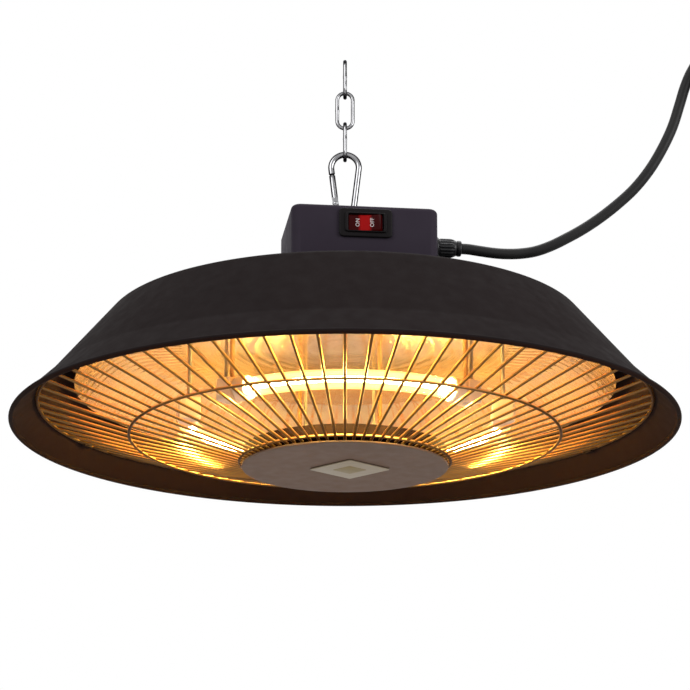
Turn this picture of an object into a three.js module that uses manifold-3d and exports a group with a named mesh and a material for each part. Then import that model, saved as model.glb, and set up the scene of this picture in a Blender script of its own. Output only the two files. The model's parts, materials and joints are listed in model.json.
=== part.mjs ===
import * as THREE from 'three';
import { mergeVertices } from 'three/addons/utils/BufferGeometryUtils.js';
import Module from 'manifold-3d';

// Hanging infrared heater: a flared steel shade with a wire guard, three bent quartz lamps under a
// polished reflector, a switch box on top, and a short chain with a snap hook that carries it.
// Millimetres, +Z up. Heights are counted from the plane of the shade's rim. The last lines lower
// everything, so that the origin is the hanging point, inside the top of the uppermost link.

const wasm = await Module();
wasm.setup();

// Driving dimensions of the whole object

const seatGap = 0.3; // clearance between pieces that touch
const cutOver = 1; // how far a cutting tool runs past a face
const mergeDistance = 1e-4; // corners closer than this are one
const rimRadius = 212.5;
const lipWidth = 21.9; // from the neck out to the rim
const neckHeight = 21; // where the cone turns out into the lip
const coneWidth = 41.6; // from the flat deck's edge out to the neck
const deckHeight = 70.8; // top face of the deck
const shadeWall = 1.2;
const boxWidth = 94;
const boxDepth = 74;
const boxRise = 67.2; // from the deck's top to the box's top
const boxTurn = 7; // degrees, the box sits a little turned on the deck
const boxShiftX = 8.5; // the box's middle, sideways from the heater's axis
const cordLength = 1800;
const cordDiameter = 7;

// Finishes

const finish = (color, roughness, metalness, more = {}) =>
  new THREE.MeshStandardMaterial({ color, roughness, metalness, ...more });
const blackCoat = finish(0x262121, 0.75, 0.3);
const polishedCopper = finish(0xd79a72, 0.18, 1);
const guardWire = finish(0x3a2b26, 0.5, 0.6);
const hubCoat = finish(0x61514a, 0.7, 0.3);
const badgeFinish = finish(0xa9a49b, 0.5, 0.2);
const zinc = finish(0xb9bcc0, 0.35, 0.9);
const chrome = finish(0xd8dadd, 0.15, 1);
const quartz = finish(0xffd9a0, 0.1, 0, { transparent: true, opacity: 0.4 });
const tungsten = finish(0xffc24a, 0.4, 0.5);
const ceramic = finish(0xe6dfd2, 0.7, 0);
const boxPlastic = finish(0x3b363c, 0.6, 0);
const blackPlastic = finish(0x18171a, 0.45, 0);
const rockerRed = finish(0xc01c18, 0.3, 0);
const blackRubber = finish(0x161616, 0.7, 0);
const leadSleeve = finish(0xd8d2c4, 0.8, 0);
const liveSleeve = finish(0x6b3f25, 0.6, 0);
const neutralSleeve = finish(0x2f56a6, 0.6, 0);
const earthSleeve = finish(0x7d9a2c, 0.6, 0);
const brass = finish(0xc7a75a, 0.3, 1);

// Shape helpers

const radians = THREE.MathUtils.degToRad;
const lateral = (radius, turn) => [radius * Math.cos(turn), radius * Math.sin(turn)];
const moved = (geometry, x = 0, y = 0, z = 0) => geometry.clone().translate(x, y, z);
const turned = (geometry, angle) => geometry.clone().rotateZ(angle);

// Merges shared corners, drops triangles that have no area and points every face outwards
function tidy(geometry) {
  const bare = new THREE.BufferGeometry();
  bare.setAttribute('position', geometry.getAttribute('position').clone());
  if (geometry.index) bare.setIndex(geometry.index.clone());
  const merged = mergeVertices(bare, mergeDistance);
  const place = merged.getAttribute('position');
  const corners = [0, 1, 2].map(() => new THREE.Vector3());
  const kept = [];
  let volume = 0;
  for (let i = 0; i < merged.index.count; i += 3) {
    const [a, b, c] = [0, 1, 2].map((k) => merged.index.getX(i + k));
    if (a === b || b === c || c === a) continue;
    [a, b, c].forEach((corner, k) => corners[k].fromBufferAttribute(place, corner));
    volume += corners[0].dot(corners[1].clone().cross(corners[2]));
    kept.push([a, b, c]);
  }
  merged.setIndex(kept.flatMap(([a, b, c]) => (volume > 0 ? [a, b, c] : [a, c, b])));
  return merged;
}

function solidOf(geometry) {
  const closed = tidy(geometry);
  return new wasm.Manifold(new wasm.Mesh({
    numProp: 3,
    vertProperties: new Float32Array(closed.getAttribute('position').array),
    triVerts: new Uint32Array(closed.index.array),
  }));
}

function geometryOf(solid) {
  const mesh = solid.getMesh();
  const geometry = new THREE.BufferGeometry();
  geometry.setAttribute('position', new THREE.BufferAttribute(new Float32Array(mesh.vertProperties), 3));
  geometry.setIndex(Array.from(mesh.triVerts));
  return geometry;
}

const cut = (body, ...tools) =>
  geometryOf(tools.reduce((left, tool) => left.subtract(solidOf(tool)), solidOf(body)));
const join = (...bodies) =>
  geometryOf(bodies.map(solidOf).reduce((whole, body) => whole.add(body)));

function block(width, depth, height, x = 0, y = 0, z = 0) {
  return new THREE.BoxGeometry(width, depth, height).translate(x, y, z);
}

// An upright rod from one height to another
function rod(radius, low, high, x = 0, y = 0, sides = 12) {
  const shape = new THREE.CylinderGeometry(radius, radius, high - low, sides);
  return shape.rotateX(Math.PI / 2).translate(x, y, (low + high) / 2);
}

// A profile of [radius, height] pairs, turned about the Z axis
function turnedBody(profile, sides) {
  const points = profile.map(([radius, height]) => new THREE.Vector2(radius, height));
  return new THREE.LatheGeometry(points, sides).rotateX(Math.PI / 2);
}

const closedBody = (profile, sides) => turnedBody([...profile, profile[0]], sides);

function polygon(radius, sides, start = 0) {
  const corners = Array.from({ length: sides }, (_, i) =>
    new THREE.Vector2(...lateral(radius, start + (2 * Math.PI * i) / sides)));
  return new THREE.Shape(corners);
}

function roundedRectangle(width, depth, corner, cornerSteps) {
  const shape = new THREE.Shape();
  const [x, y] = [width / 2 - corner, depth / 2 - corner];
  [[x, y], [-x, y], [-x, -y], [x, -y]].forEach(([cx, cy], quarter) => {
    for (let i = 0; i <= cornerSteps; i += 1) {
      const angle = (Math.PI / 2) * (quarter + i / cornerSteps);
      const point = [cx + corner * Math.cos(angle), cy + corner * Math.sin(angle)];
      if (quarter === 0 && i === 0) shape.moveTo(...point);
      else shape.lineTo(...point);
    }
  });
  return shape;
}

const slab = (shape, thickness, low = 0) =>
  new THREE.ExtrudeGeometry(shape, { depth: thickness, bevelEnabled: false }).translate(0, 0, low);

function hexNut(acrossFlats, boreRadius, height, low, boreSides = 10) {
  const shape = polygon(acrossFlats / 2 / Math.cos(Math.PI / 6), 6);
  shape.holes.push(new THREE.Path(polygon(boreRadius, boreSides).getPoints()));
  return slab(shape, height, low);
}

// A round wire or cable carried along a curve, with flat ends
function wire(curve, radius, sides, steps) {
  return new THREE.ExtrudeGeometry(polygon(radius, sides, Math.PI / sides), {
    steps, bevelEnabled: false, extrudePath: curve,
  });
}

const smoothCurve = (points) =>
  new THREE.CatmullRomCurve3(points.map((point) => new THREE.Vector3(...point)), false, 'centripetal');

// Shifts an open line of [radius, height] pairs sideways, with mitred corners
function shiftedLine(line, distance) {
  const sideOf = (i) => {
    const [[ax, ay], [bx, by]] = [line[i], line[i + 1]];
    const length = Math.hypot(bx - ax, by - ay);
    return [-(by - ay) / length, (bx - ax) / length];
  };
  return line.map(([x, y], i) => {
    const before = sideOf(Math.max(i - 1, 0));
    const after = sideOf(Math.min(i, line.length - 2));
    const sum = [before[0] + after[0], before[1] + after[1]];
    const scale = (2 * distance) / (sum[0] ** 2 + sum[1] ** 2);
    return [x + sum[0] * scale, y + sum[1] * scale];
  });
}

// Rounds the inner corners of an open line, each over the given reach
function roundedLine(line, reaches, steps) {
  const out = [line[0]];
  for (let i = 1; i < line.length - 1; i += 1) {
    const corner = new THREE.Vector2(...line[i]);
    const near = (other) => {
      const way = new THREE.Vector2(...other).sub(corner).normalize();
      return corner.clone().addScaledVector(way, reaches[i - 1]);
    };
    const bend = new THREE.QuadraticBezierCurve(near(line[i - 1]), corner, near(line[i + 1]));
    bend.getPoints(steps).forEach((point) => out.push([point.x, point.y]));
  }
  out.push(line[line.length - 1]);
  return out;
}

const stripOutline = (line, thickness) =>
  [...shiftedLine(line, thickness / 2), ...shiftedLine(line, -thickness / 2).reverse()];

const object = new THREE.Group();
const heater = new THREE.Group();
object.add(heater);

function addPiece(name, geometry, material, parent = heater) {
  const mesh = new THREE.Mesh(tidy(geometry), material);
  mesh.name = name;
  parent.add(mesh);
  return mesh;
}

// Shade: flat deck, straight cone, flared lip and a rolled rim, one spun sheet

const shadeSides = 54;
const rimBead = 1.7; // radius of the rolled rim
const deckBend = 5;
const neckBend = 7;
const bendSteps = 2;
const beadSteps = 5;

const neckRadius = rimRadius - lipWidth;
const deckRadius = neckRadius - coneWidth;
const sheetLine = [ // the middle of the wall
  [0, deckHeight - shadeWall / 2],
  [deckRadius, deckHeight - shadeWall / 2],
  [neckRadius, neckHeight],
  [rimRadius - rimBead, rimBead],
];
const shadeOuter = shiftedLine(sheetLine, shadeWall / 2);
const shadeInner = shiftedLine(sheetLine, -shadeWall / 2);

function beadLine() {
  const [from, to] = [sheetLine[2], sheetLine[3]];
  const upTheLip = Math.atan2(from[1] - to[1], from[0] - to[0]);
  const opening = Math.asin(shadeWall / 2 / rimBead);
  return Array.from({ length: beadSteps + 1 }, (_, i) => {
    const angle = upTheLip - opening - (2 * (Math.PI - opening) * i) / beadSteps;
    return [to[0] + rimBead * Math.cos(angle), to[1] + rimBead * Math.sin(angle)];
  });
}

// Radius at a height of a line that follows the sheet, on the cone or on the lip
function radiusAt(line, height) {
  const i = height > line[2][1] ? 1 : 2;
  const along = (height - line[i][1]) / (line[i + 1][1] - line[i][1]);
  return line[i][0] + along * (line[i + 1][0] - line[i][0]);
}

// Height at a radius of a line that follows the sheet, on the lip
function lipHeightAt(line, radius) {
  const along = (radius - line[2][0]) / (line[3][0] - line[2][0]);
  return line[2][1] + along * (line[3][1] - line[2][1]);
}

const outerBends = roundedLine(shadeOuter, [deckBend, neckBend], bendSteps).slice(0, -1);
const innerBends = roundedLine(shadeInner, [deckBend, neckBend], bendSteps).slice(0, -1);
const deckUnderside = deckHeight - shadeWall;
const shadeBlank = turnedBody([...outerBends, ...beadLine(), ...innerBends.reverse()], shadeSides);

// Guard: straight radial wires welded into three rings, a shallow dome that bulges below the rim

const guardWireCount = 72;
const guardWireDiameter = 2;
const guardRingHeight = 13.9; // outer ring
const midRingRadius = 136.7;
const midRingHeight = -4;
const hubRingRadius = 66.8;
const hubRingHeight = -21.2;
const hubPlateRadius = 65.4;
const wireGrip = 3.6; // length of a wire's inner end that the hub clamps

const guardWireRadius = guardWireDiameter / 2;
const lipSlope = Math.atan2(shadeInner[2][1] - shadeInner[3][1], shadeInner[3][0] - shadeInner[2][0]);
const ringOffWall = (Math.SQRT2 * guardWireRadius + seatGap) / Math.sin(lipSlope);
const guardRingRadius = radiusAt(shadeInner, guardRingHeight) - ringOffWall;
const innerSlope = (midRingHeight - hubRingHeight) / (midRingRadius - hubRingRadius);
const wireEndRadius = hubPlateRadius - wireGrip;
const wireEndHeight = hubRingHeight - innerSlope * (hubRingRadius - wireEndRadius);

// The rings and wires are square bars. Each ring has two sections beside every wire, and the
// wire grows out of the faces between them, so that the whole guard is one skin. The corners of
// a section are counted from its upper outer one, towards the axis and then down.
function guard() {
  const sections = [
    [guardRingRadius, guardRingHeight],
    [midRingRadius, midRingHeight],
    [hubRingRadius, hubRingHeight],
    [wireEndRadius, wireEndHeight],
  ];
  const corners = [[1, 1], [-1, 1], [-1, -1], [1, -1]];
  const last = sections.length - 1;
  const positions = [];
  const index = [];
  for (let i = 0; i < guardWireCount; i += 1) {
    sections.forEach(([radius, height]) => [-1, 1].forEach((side) => corners.forEach(([out, up]) => {
      const angle = (2 * Math.PI * i) / guardWireCount + (side * guardWireRadius) / radius;
      positions.push(...lateral(radius + out * guardWireRadius, angle), height + up * guardWireRadius);
    })));
  }
  const at = (i, j, side, corner) =>
    (((i % guardWireCount) * sections.length + j) * 2 + side) * corners.length + corner;
  const face = (a, b, c, d) => index.push(a, b, c, a, c, d);
  for (let i = 0; i < guardWireCount; i += 1) {
    for (let j = 0; j < last; j += 1) {
      for (let k = 0; k < corners.length; k += 1) {
        const next = (k + 1) % corners.length;
        face(at(i, j, 1, k), at(i + 1, j, 0, k), at(i + 1, j, 0, next), at(i, j, 1, next));
        const open = k === 1 || (k === 3 && j > 0);
        if (!open) face(at(i, j, 0, k), at(i, j, 1, k), at(i, j, 1, next), at(i, j, 0, next));
      }
      const [outer, inner] = [(side, k) => at(i, j, side, k), (side, k) => at(i, j + 1, side, k)];
      const [innerUp, innerDown] = j + 1 < last ? [0, 3] : [1, 2];
      face(outer(0, 1), outer(1, 1), inner(1, innerUp), inner(0, innerUp));
      face(outer(1, 1), outer(1, 2), inner(1, innerDown), inner(1, innerUp));
      face(outer(1, 2), outer(0, 2), inner(0, innerDown), inner(1, innerDown));
      face(outer(0, 2), outer(0, 1), inner(0, innerUp), inner(0, innerDown));
    }
    face(at(i, last, 0, 1), at(i, last, 1, 1), at(i, last, 1, 2), at(i, last, 0, 2));
  }
  const geometry = new THREE.BufferGeometry();
  geometry.setAttribute('position', new THREE.Float32BufferAttribute(positions, 3));
  geometry.setIndex(index);
  return geometry;
}

addPiece('guard_grille', guard(), guardWire);

// Lamps: three bent quartz tubes on one circle above the guard. Each runs straight on into a cap
// at both ends, and the caps hang on rods of the reflector

const lampOffDeck = 49; // from the deck's edge in to the lamps' circle
const lampOverGuard = 18; // from the guard's wires up to the lamps' middle, on that circle
const lampPlaces = [['left', 150], ['middle', -90], ['right', 30]]; // degrees, counted from +X
const lampTurn = 2; // degrees that the three lamps are turned together
const lampBendTurn = 34; // degrees that a tube is bent, to each side of its middle
const lampSteps = 6;
const lampRadius = 6;
const quartzWall = 1.2;
const quartzSides = 10;
const quartzEnd = 12; // straight glass past the bend
const filamentRadius = 1.2;
const filamentExcess = 5; // how far the filament runs past the glass
const filamentSides = 6;
const capGrip = 6; // length of glass that a cap holds
const capCollarRadius = 7.8;
const capCollarExcess = 2; // from the end of the glass to the end of the collar
const capNeckRadius = 4.8;
const capNeckWidth = 1.8;
const capBlockSize = 14;
const capBlockLength = 10;
const capSides = 10;
const hangerRadius = 1.5;
const hangerGrip = 3.5; // how far a hanger reaches into its cap
const hangerInBlock = 3; // from the start of a cap's block out to its hanger
const hangerSides = 8;

const lampCircle = deckRadius - lampOffDeck;
const guardAtLamps = hubRingHeight + innerSlope * (lampCircle - hubRingRadius);
const lampHeight = guardAtLamps + lampOverGuard;
const lampBend = radians(lampBendTurn);
const capInner = quartzEnd - capGrip;
const filamentEnd = quartzEnd + filamentExcess;
const capNeckStart = quartzEnd + capCollarExcess;
const capBlockStart = capNeckStart + capNeckWidth;
const capEnd = capBlockStart + capBlockLength;
const hangerAlong = capBlockStart + hangerInBlock;
const lamps = lampPlaces.map(([name, place]) => ({ name, turn: radians(place + lampTurn) }));

// A point of a lamp, straight on past its bend. The end is 1 or -1
function pastBend(turn, end, distance) {
  const angle = turn + end * lampBend;
  const [x, y] = lateral(lampCircle, angle);
  return [x - end * distance * Math.sin(angle), y + end * distance * Math.cos(angle)];
}

// A round rod along a lamp's middle line, with straight ends of the given length
function lampRod(turn, radius, end, sides) {
  const bend = Array.from({ length: lampSteps + 1 }, (_, i) =>
    lateral(lampCircle, turn + lampBend * ((2 * i) / lampSteps - 1)));
  const line = [pastBend(turn, -1, end), ...bend, pastBend(turn, 1, end)];
  const places = line.map(([x, y]) => new THREE.Vector3(x, y, lampHeight));
  return wireThrough(places, radius, sides, new THREE.Vector3(0, 0, 1));
}

// A cap along X, counted from the end of the bend, with a hole in its top for the hanger
function capShape() {
  const boreEnd = quartzEnd + seatGap;
  const smallBoreEnd = filamentEnd + seatGap;
  const turnedPart = turnedBody([
    [0, capBlockStart + seatGap],
    [capNeckRadius, capBlockStart + seatGap],
    [capNeckRadius, capNeckStart],
    [capCollarRadius, capNeckStart],
    [capCollarRadius, capInner],
    [lampRadius + seatGap, capInner],
    [lampRadius + seatGap, boreEnd],
    [filamentRadius + seatGap, boreEnd],
    [filamentRadius + seatGap, capBlockStart - capNeckWidth / 2],
    [0, capBlockStart - capNeckWidth / 2],
  ], capSides);
  const end = block(capBlockSize, capBlockSize, capBlockLength, 0, 0, (capBlockStart + capEnd) / 2);
  const smallBore = rod(filamentRadius + seatGap, capInner, smallBoreEnd, 0, 0, capSides);
  const hangerHole = rod(hangerRadius + seatGap, capBlockSize / 2 - hangerGrip - seatGap,
    capBlockSize / 2 + cutOver, hangerAlong, 0, hangerSides);
  return cut(alongX(cut(join(turnedPart, end), smallBore)), hangerHole);
}

const alongX = (geometry) => geometry.clone().rotateY(Math.PI / 2);
const cap = capShape();
lamps.forEach(({ name, turn }) => {
  const tube = lampRod(turn, lampRadius, quartzEnd, quartzSides);
  const bore = lampRod(turn, lampRadius - quartzWall, quartzEnd + cutOver, quartzSides);
  addPiece(`quartz_tube_${name}`, cut(tube, bore), quartz);
  addPiece(`filament_${name}`, lampRod(turn, filamentRadius, filamentEnd, filamentSides), tungsten);
  [1, -1].forEach((end, i) => {
    const [x, y] = pastBend(turn, end, 0);
    const facing = turned(cap, turn + end * (lampBend + Math.PI / 2));
    addPiece(`end_cap_${name}_${i + 1}`, moved(facing, x, y, lampHeight), ceramic);
  });
});

// Reflector: a flat polished plate whose edge curves down, held under the deck on three studs, with
// six rods that the lamps hang on

const reflectorBelowDeck = 16.8; // from the deck's top to the underside of the flat part
const reflectorSheet = 0.8;
const reflectorOffNeck = 18.6; // from the neck's radius in to the reflector's edge
const reflectorDrop = 28; // how far the edge curves down
const reflectorSteps = 5;
const reflectorSides = 54;
const reflectorOffLamps = 30; // from the lamps' circle out to the edge of the flat part
const studOffDeck = 37; // from the deck's edge in to the studs
const studTurns = [90, 210, 330];
const studShoulderRadius = 4;
const studRadius = 2;
const deckNutFlats = 8;
const deckNutHeight = 3.2;
const studRise = 1; // what shows of a stud above its nut
const leadRadius = 1.1;
const leadHoleRadius = 2.4;
const leadOffCap = 2.6; // from a cap's end in to its lead

const reflectorHeight = deckHeight - reflectorBelowDeck;
const reflectorFlatRadius = lampCircle + reflectorOffLamps;
const reflectorSpan = neckRadius - reflectorOffNeck - reflectorFlatRadius;
const studCircle = deckRadius - studOffDeck;
const capLeadAlong = capEnd - leadOffCap;
const reflectorCurve = Array.from({ length: reflectorSteps + 1 }, (_, i) => {
  const share = i / reflectorSteps;
  return [reflectorFlatRadius + reflectorSpan * share, reflectorHeight - reflectorDrop * share ** 2];
});
const reflectorBlank = turnedBody([
  [0, reflectorHeight],
  ...reflectorCurve,
  ...reflectorCurve.map(([radius, height]) => [radius, height + reflectorSheet]).reverse(),
  [0, reflectorHeight + reflectorSheet],
], reflectorSides);

const atCaps = (along) => lamps.flatMap(({ turn }) => [1, -1].map((end) => pastBend(turn, end, along)));
const capLeads = atCaps(capLeadAlong);
const studs = studTurns.map((turn) => lateral(studCircle, radians(turn)));
const nutLow = deckHeight + seatGap;
const studTop = nutLow + deckNutHeight + studRise;
const reflectorTop = reflectorHeight + reflectorSheet;

const studBodies = studs.flatMap(([x, y]) => [
  rod(studShoulderRadius, reflectorTop - reflectorSheet / 2, deckUnderside - seatGap, x, y),
  rod(studRadius, reflectorTop, studTop, x, y),
]);
const hangers = atCaps(hangerAlong).map(([x, y]) => rod(hangerRadius,
  lampHeight + capBlockSize / 2 - hangerGrip, reflectorTop - reflectorSheet / 2, x, y, hangerSides));
const reflectorHoles = capLeads.map(([x, y]) =>
  rod(leadHoleRadius, reflectorHeight - cutOver, reflectorTop + cutOver, x, y));
const reflectorBody = join(reflectorBlank, ...studBodies, ...hangers);
addPiece('reflector', cut(reflectorBody, ...reflectorHoles), polishedCopper);
studs.forEach(([x, y], i) => {
  const nut = hexNut(deckNutFlats, studRadius + seatGap, deckNutHeight, nutLow);
  addPiece(`deck_nut_${i + 1}`, moved(nut, x, y), zinc);
});

// Guard clips: bent strips that follow the inside of the sheet round its neck and hook under the
// guard's outer ring, between two wires

const clipSheet = 1;
const clipWidth = 8;
const clipTopHeight = 35;
const clipTurns = [-87.5, 32.5, 152.5];

function guardClip() {
  const ringBottom = guardRingHeight - guardWireRadius;
  const inside = guardRingRadius - guardWireRadius - seatGap - clipSheet / 2;
  const facetSag = neckRadius * (1 - Math.cos(Math.PI / shadeSides));
  const wall = shiftedLine(sheetLine, -(shadeWall / 2 + facetSag + seatGap + clipSheet / 2));
  const footMiddle = ringBottom - seatGap - clipSheet / 2;
  const line = [
    [radiusAt(wall, clipTopHeight), clipTopHeight],
    wall[2],
    [inside, lipHeightAt(wall, inside)],
    [inside, footMiddle],
    [guardRingRadius + guardWireRadius, footMiddle],
  ];
  const outline = new THREE.Shape(stripOutline(line, clipSheet).map((point) => new THREE.Vector2(...point)));
  const upright = slab(outline, clipWidth, -clipWidth / 2);
  return upright.rotateX(Math.PI / 2);
}

clipTurns.forEach((turn, i) => addPiece(`guard_clip_${i + 1}`, turned(guardClip(), radians(turn)), zinc));

// Hub: a plate under the wires' inner ends and a pan above them, drawn together by a stud and nut

const hubPlateThickness = 1.5;
const hubPanSheet = 1;
const hubPanRadius = 64.6;
const hubPanSkirt = 7;
const hubStudRadius = 2;
const hubNutFlats = 7;
const hubNutHeight = 3;
const hubSides = 40;
const badgeHalfWidth = 25.5;
const badgeHalfDepth = 24;
const badgeThickness = 0.8;
const badgeShiftX = 3;

const wireUnderside = wireEndHeight - guardWireRadius;
const hubPlateTop = wireUnderside - seatGap;
const hubPlateBottom = hubPlateTop - hubPlateThickness;
const wireTopRun = hubPanRadius - (wireEndRadius - guardWireRadius);
const wireTopAtPan = wireEndHeight + guardWireRadius + innerSlope * wireTopRun;
const panBottom = wireTopAtPan + seatGap;
const panTop = panBottom + hubPanSheet;
const hubNutLow = panTop + seatGap;

const hubPlate = turnedBody([
  [0, hubPlateBottom],
  [hubPlateRadius - hubPlateThickness / 2, hubPlateBottom],
  [hubPlateRadius, hubPlateBottom + hubPlateThickness / 2],
  [hubPlateRadius, hubPlateTop],
  [0, hubPlateTop],
], hubSides);
const hubStud = rod(hubStudRadius, hubPlateTop - hubPlateThickness / 2, hubNutLow + hubNutHeight + studRise);
addPiece('hub_plate', join(hubPlate, hubStud), hubCoat);
addPiece('hub_pan', closedBody([
  [hubStudRadius + seatGap, panBottom],
  [hubPanRadius, panBottom],
  [hubPanRadius, panBottom + hubPanSkirt],
  [hubPanRadius - hubPanSheet, panBottom + hubPanSkirt],
  [hubPanRadius - hubPanSheet, panTop],
  [hubStudRadius + seatGap, panTop],
], hubSides), blackCoat);
addPiece('hub_nut', hexNut(hubNutFlats, hubStudRadius + seatGap, hubNutHeight, hubNutLow), zinc);
const badgeShape = new THREE.Shape([
  new THREE.Vector2(badgeHalfWidth, 0), new THREE.Vector2(0, badgeHalfDepth),
  new THREE.Vector2(-badgeHalfWidth, 0), new THREE.Vector2(0, -badgeHalfDepth),
]);
const badgeLow = hubPlateBottom - seatGap - badgeThickness;
addPiece('hub_badge', moved(slab(badgeShape, badgeThickness, badgeLow), badgeShiftX), badgeFinish);

// Switch box on the deck. Its pieces share a turned group, with -Y towards the front

const boxWall = 2.5;
const boxCorner = 6;
const boxTopEdge = 3;
const boxCornerSteps = 3;
const boxEdgeSteps = 2;
const gasketThickness = 1.2;
const bossRadius = 4;
const bossHeight = 12;
const screwRadius = 1.5;
const screwSides = 10;
const screwHeadRadius = 3.2;
const screwHeadHeight = 2;
const screwReach = 9; // how far a screw runs into its boss

const boxTopHeight = deckHeight + boxRise;
const gasketLow = deckHeight + seatGap;
const boxLow = gasketLow + gasketThickness + seatGap;
const boxHeight = boxTopHeight - boxLow;
const boxGroup = new THREE.Group();
boxGroup.position.set(boxShiftX, 0, 0);
boxGroup.rotation.z = radians(boxTurn);
boxGroup.updateMatrix();
heater.add(boxGroup);
const intoBox = boxGroup.matrix.clone().invert();
const inBox = (geometry) => geometry.clone().applyMatrix4(intoBox);
const fromBox = (x, y, z) => new THREE.Vector3(x, y, z).applyMatrix4(boxGroup.matrix);
const bosses = [1, -1].map((side) =>
  [side * (boxWidth / 2 - boxCorner), side * (boxDepth / 2 - boxCorner)]);

// Hanging eye: a bent rod through the box and the deck, with a nut on each leg under the deck

const eyeRod = 3.5; // diameter
const eyeRise = 9.6; // top of the eye above the box
const eyeBendRadius = 8;
const eyeRodSides = 8;
const eyeBendSteps = 8;
const eyeNutFlats = 7;
const eyeNutHeight = 3;

const eyeTop = boxTopHeight + eyeRise;
const eyeBendHeight = eyeTop - eyeRod / 2 - eyeBendRadius;
const eyeNutLow = deckUnderside - seatGap - eyeNutHeight;
const eyeLegLow = eyeNutLow - studRise;
const eyeLegs = [['front', -eyeBendRadius], ['back', eyeBendRadius]];

// Points along a flat arc in an upright plane, from one angle to another. The angles count
// from the plane's level axis, X or Y, towards +Z
function arcPoints(axis, centre, radius, from, to, steps) {
  return Array.from({ length: steps + 1 }, (_, i) => {
    const [side, rise] = lateral(radius, from + ((to - from) * i) / steps);
    const [x, y] = axis === 'x' ? [centre[0] + side, 0] : [0, centre[0] + side];
    return new THREE.Vector3(x, y, centre[1] + rise);
  });
}

// A round wire through chosen points, with a mitred ring of corners at each. It is square to
// its first and last stretch, and side is a direction that the wire never runs along
function wireThrough(points, radius, sides, side, closed = false) {
  const count = points.length;
  const at = (i) => points[(i + count) % count];
  const positions = [];
  points.forEach((point, i) => {
    const before = closed || i > 0 ? point.clone().sub(at(i - 1)).normalize() : null;
    const after = closed || i < count - 1 ? at(i + 1).clone().sub(point).normalize() : null;
    const way = (before ?? after).clone().add(after ?? before).normalize();
    const across = side.clone().addScaledVector(way, -side.dot(way)).normalize();
    const up = way.clone().cross(across);
    const stretch = 1 / way.dot(after ?? before);
    for (let k = 0; k < sides; k += 1) {
      const [first, second] = lateral(radius, (2 * Math.PI * (k + 0.5)) / sides);
      positions.push(...point.clone().addScaledVector(across, first)
        .addScaledVector(up, second * stretch).toArray());
    }
  });
  const index = [];
  for (let i = 0; i < (closed ? count : count - 1); i += 1) {
    for (let k = 0; k < sides; k += 1) {
      const next = (k + 1) % sides;
      const [here, ahead] = [i * sides, ((i + 1) % count) * sides];
      index.push(here + k, here + next, ahead + next, here + k, ahead + next, ahead + k);
    }
  }
  const end = (count - 1) * sides;
  for (let k = 1; !closed && k < sides - 1; k += 1) {
    index.push(0, k + 1, k, end, end + k, end + k + 1);
  }
  const geometry = new THREE.BufferGeometry();
  geometry.setAttribute('position', new THREE.Float32BufferAttribute(positions, 3));
  geometry.setIndex(index);
  return geometry;
}

const eyeLine = [
  new THREE.Vector3(0, -eyeBendRadius, eyeLegLow),
  ...arcPoints('y', [0, eyeBendHeight], eyeBendRadius, Math.PI, 0, eyeBendSteps),
  new THREE.Vector3(0, eyeBendRadius, eyeLegLow),
];
addPiece('hanging_eye', wireThrough(eyeLine, eyeRod / 2, eyeRodSides, new THREE.Vector3(1, 0, 0)), zinc);
eyeLegs.forEach(([name, y]) => {
  const nut = hexNut(eyeNutFlats, eyeRod / 2 + seatGap, eyeNutHeight, eyeNutLow);
  addPiece(`eye_nut_${name}`, moved(nut, 0, y), zinc);
});

// Gland on the right wall of the box, along X: flanged body, dome nut and clamping collar

const glandDrop = 14.4; // from the box's top to the middle of the gland and its cord
const glandThreadRadius = 5;
const glandFlangeRadius = 7;
const glandFlange = 5;
const glandInside = 8; // how far the gland reaches into the box from the wall's inner face
const glandNutRadius = 6.2;
const glandNutLength = 11.5;
const glandCollarRadius = 5.2;
const glandCollarLength = 3.3;
const glandSides = 16;

const glandHeight = boxTopHeight - glandDrop;
const boxSideX = boxWidth / 2;
const glandInnerX = boxSideX - boxWall - glandInside;
const flangeStart = boxSideX + seatGap;
const glandNutStart = flangeStart + glandFlange + seatGap;
const glandNutEnd = glandNutStart + glandNutLength;
const glandEnd = glandNutEnd + glandCollarLength;
const onGlandAxis = (geometry) => alongX(geometry).translate(0, 0, glandHeight);
addPiece('gland_body', onGlandAxis(turnedBody([
  [0, glandInnerX],
  [glandThreadRadius, glandInnerX],
  [glandThreadRadius, flangeStart],
  [glandFlangeRadius, flangeStart],
  [glandFlangeRadius, flangeStart + glandFlange],
  [glandThreadRadius, flangeStart + glandFlange],
  [glandThreadRadius - seatGap, glandNutEnd],
  [glandCollarRadius, glandNutEnd + seatGap],
  [glandCollarRadius, glandEnd],
  [0, glandEnd],
], glandSides)), blackPlastic, boxGroup);
addPiece('gland_nut', onGlandAxis(closedBody([
  [glandThreadRadius + seatGap, glandNutStart],
  [glandNutRadius, glandNutStart],
  [glandNutRadius, glandNutEnd - seatGap],
  [glandThreadRadius + seatGap, glandNutEnd - seatGap],
], glandSides)), blackPlastic, boxGroup);

// Switch in the front wall: a framed housing and a rocker that tilts about an upright axis

const switchDrop = 12.4; // from the box's top to the middle of the switch
const switchFrameWidth = 34;
const switchFrameHeight = 19;
const switchFrameThickness = 1.6;
const switchBezelWidth = 26.5;
const switchBezelHeight = 13;
const switchBezelRise = 1.2;
const switchBodyDepth = 15; // behind the wall's front face
const rockerLength = 22;
const rockerWidth = 10.4;
const rockerAxisDepth = 2; // the tilting axis, behind the wall's front face
const rockerTilt = 8; // degrees from its middle place, with the left end pressed in
const rockerHollow = 3.4; // from the axis to the middle of the rocker's face
const rockerRoom = 6.5; // from the axis to the floor of the housing
const rockerFrontTurn = 25; // degrees, half the angle of the rocker's round ends in front
const rockerBackTurn = 20;
const terminalWidth = 5;
const terminalLength = 7;
const terminalSheet = 1;

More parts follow.
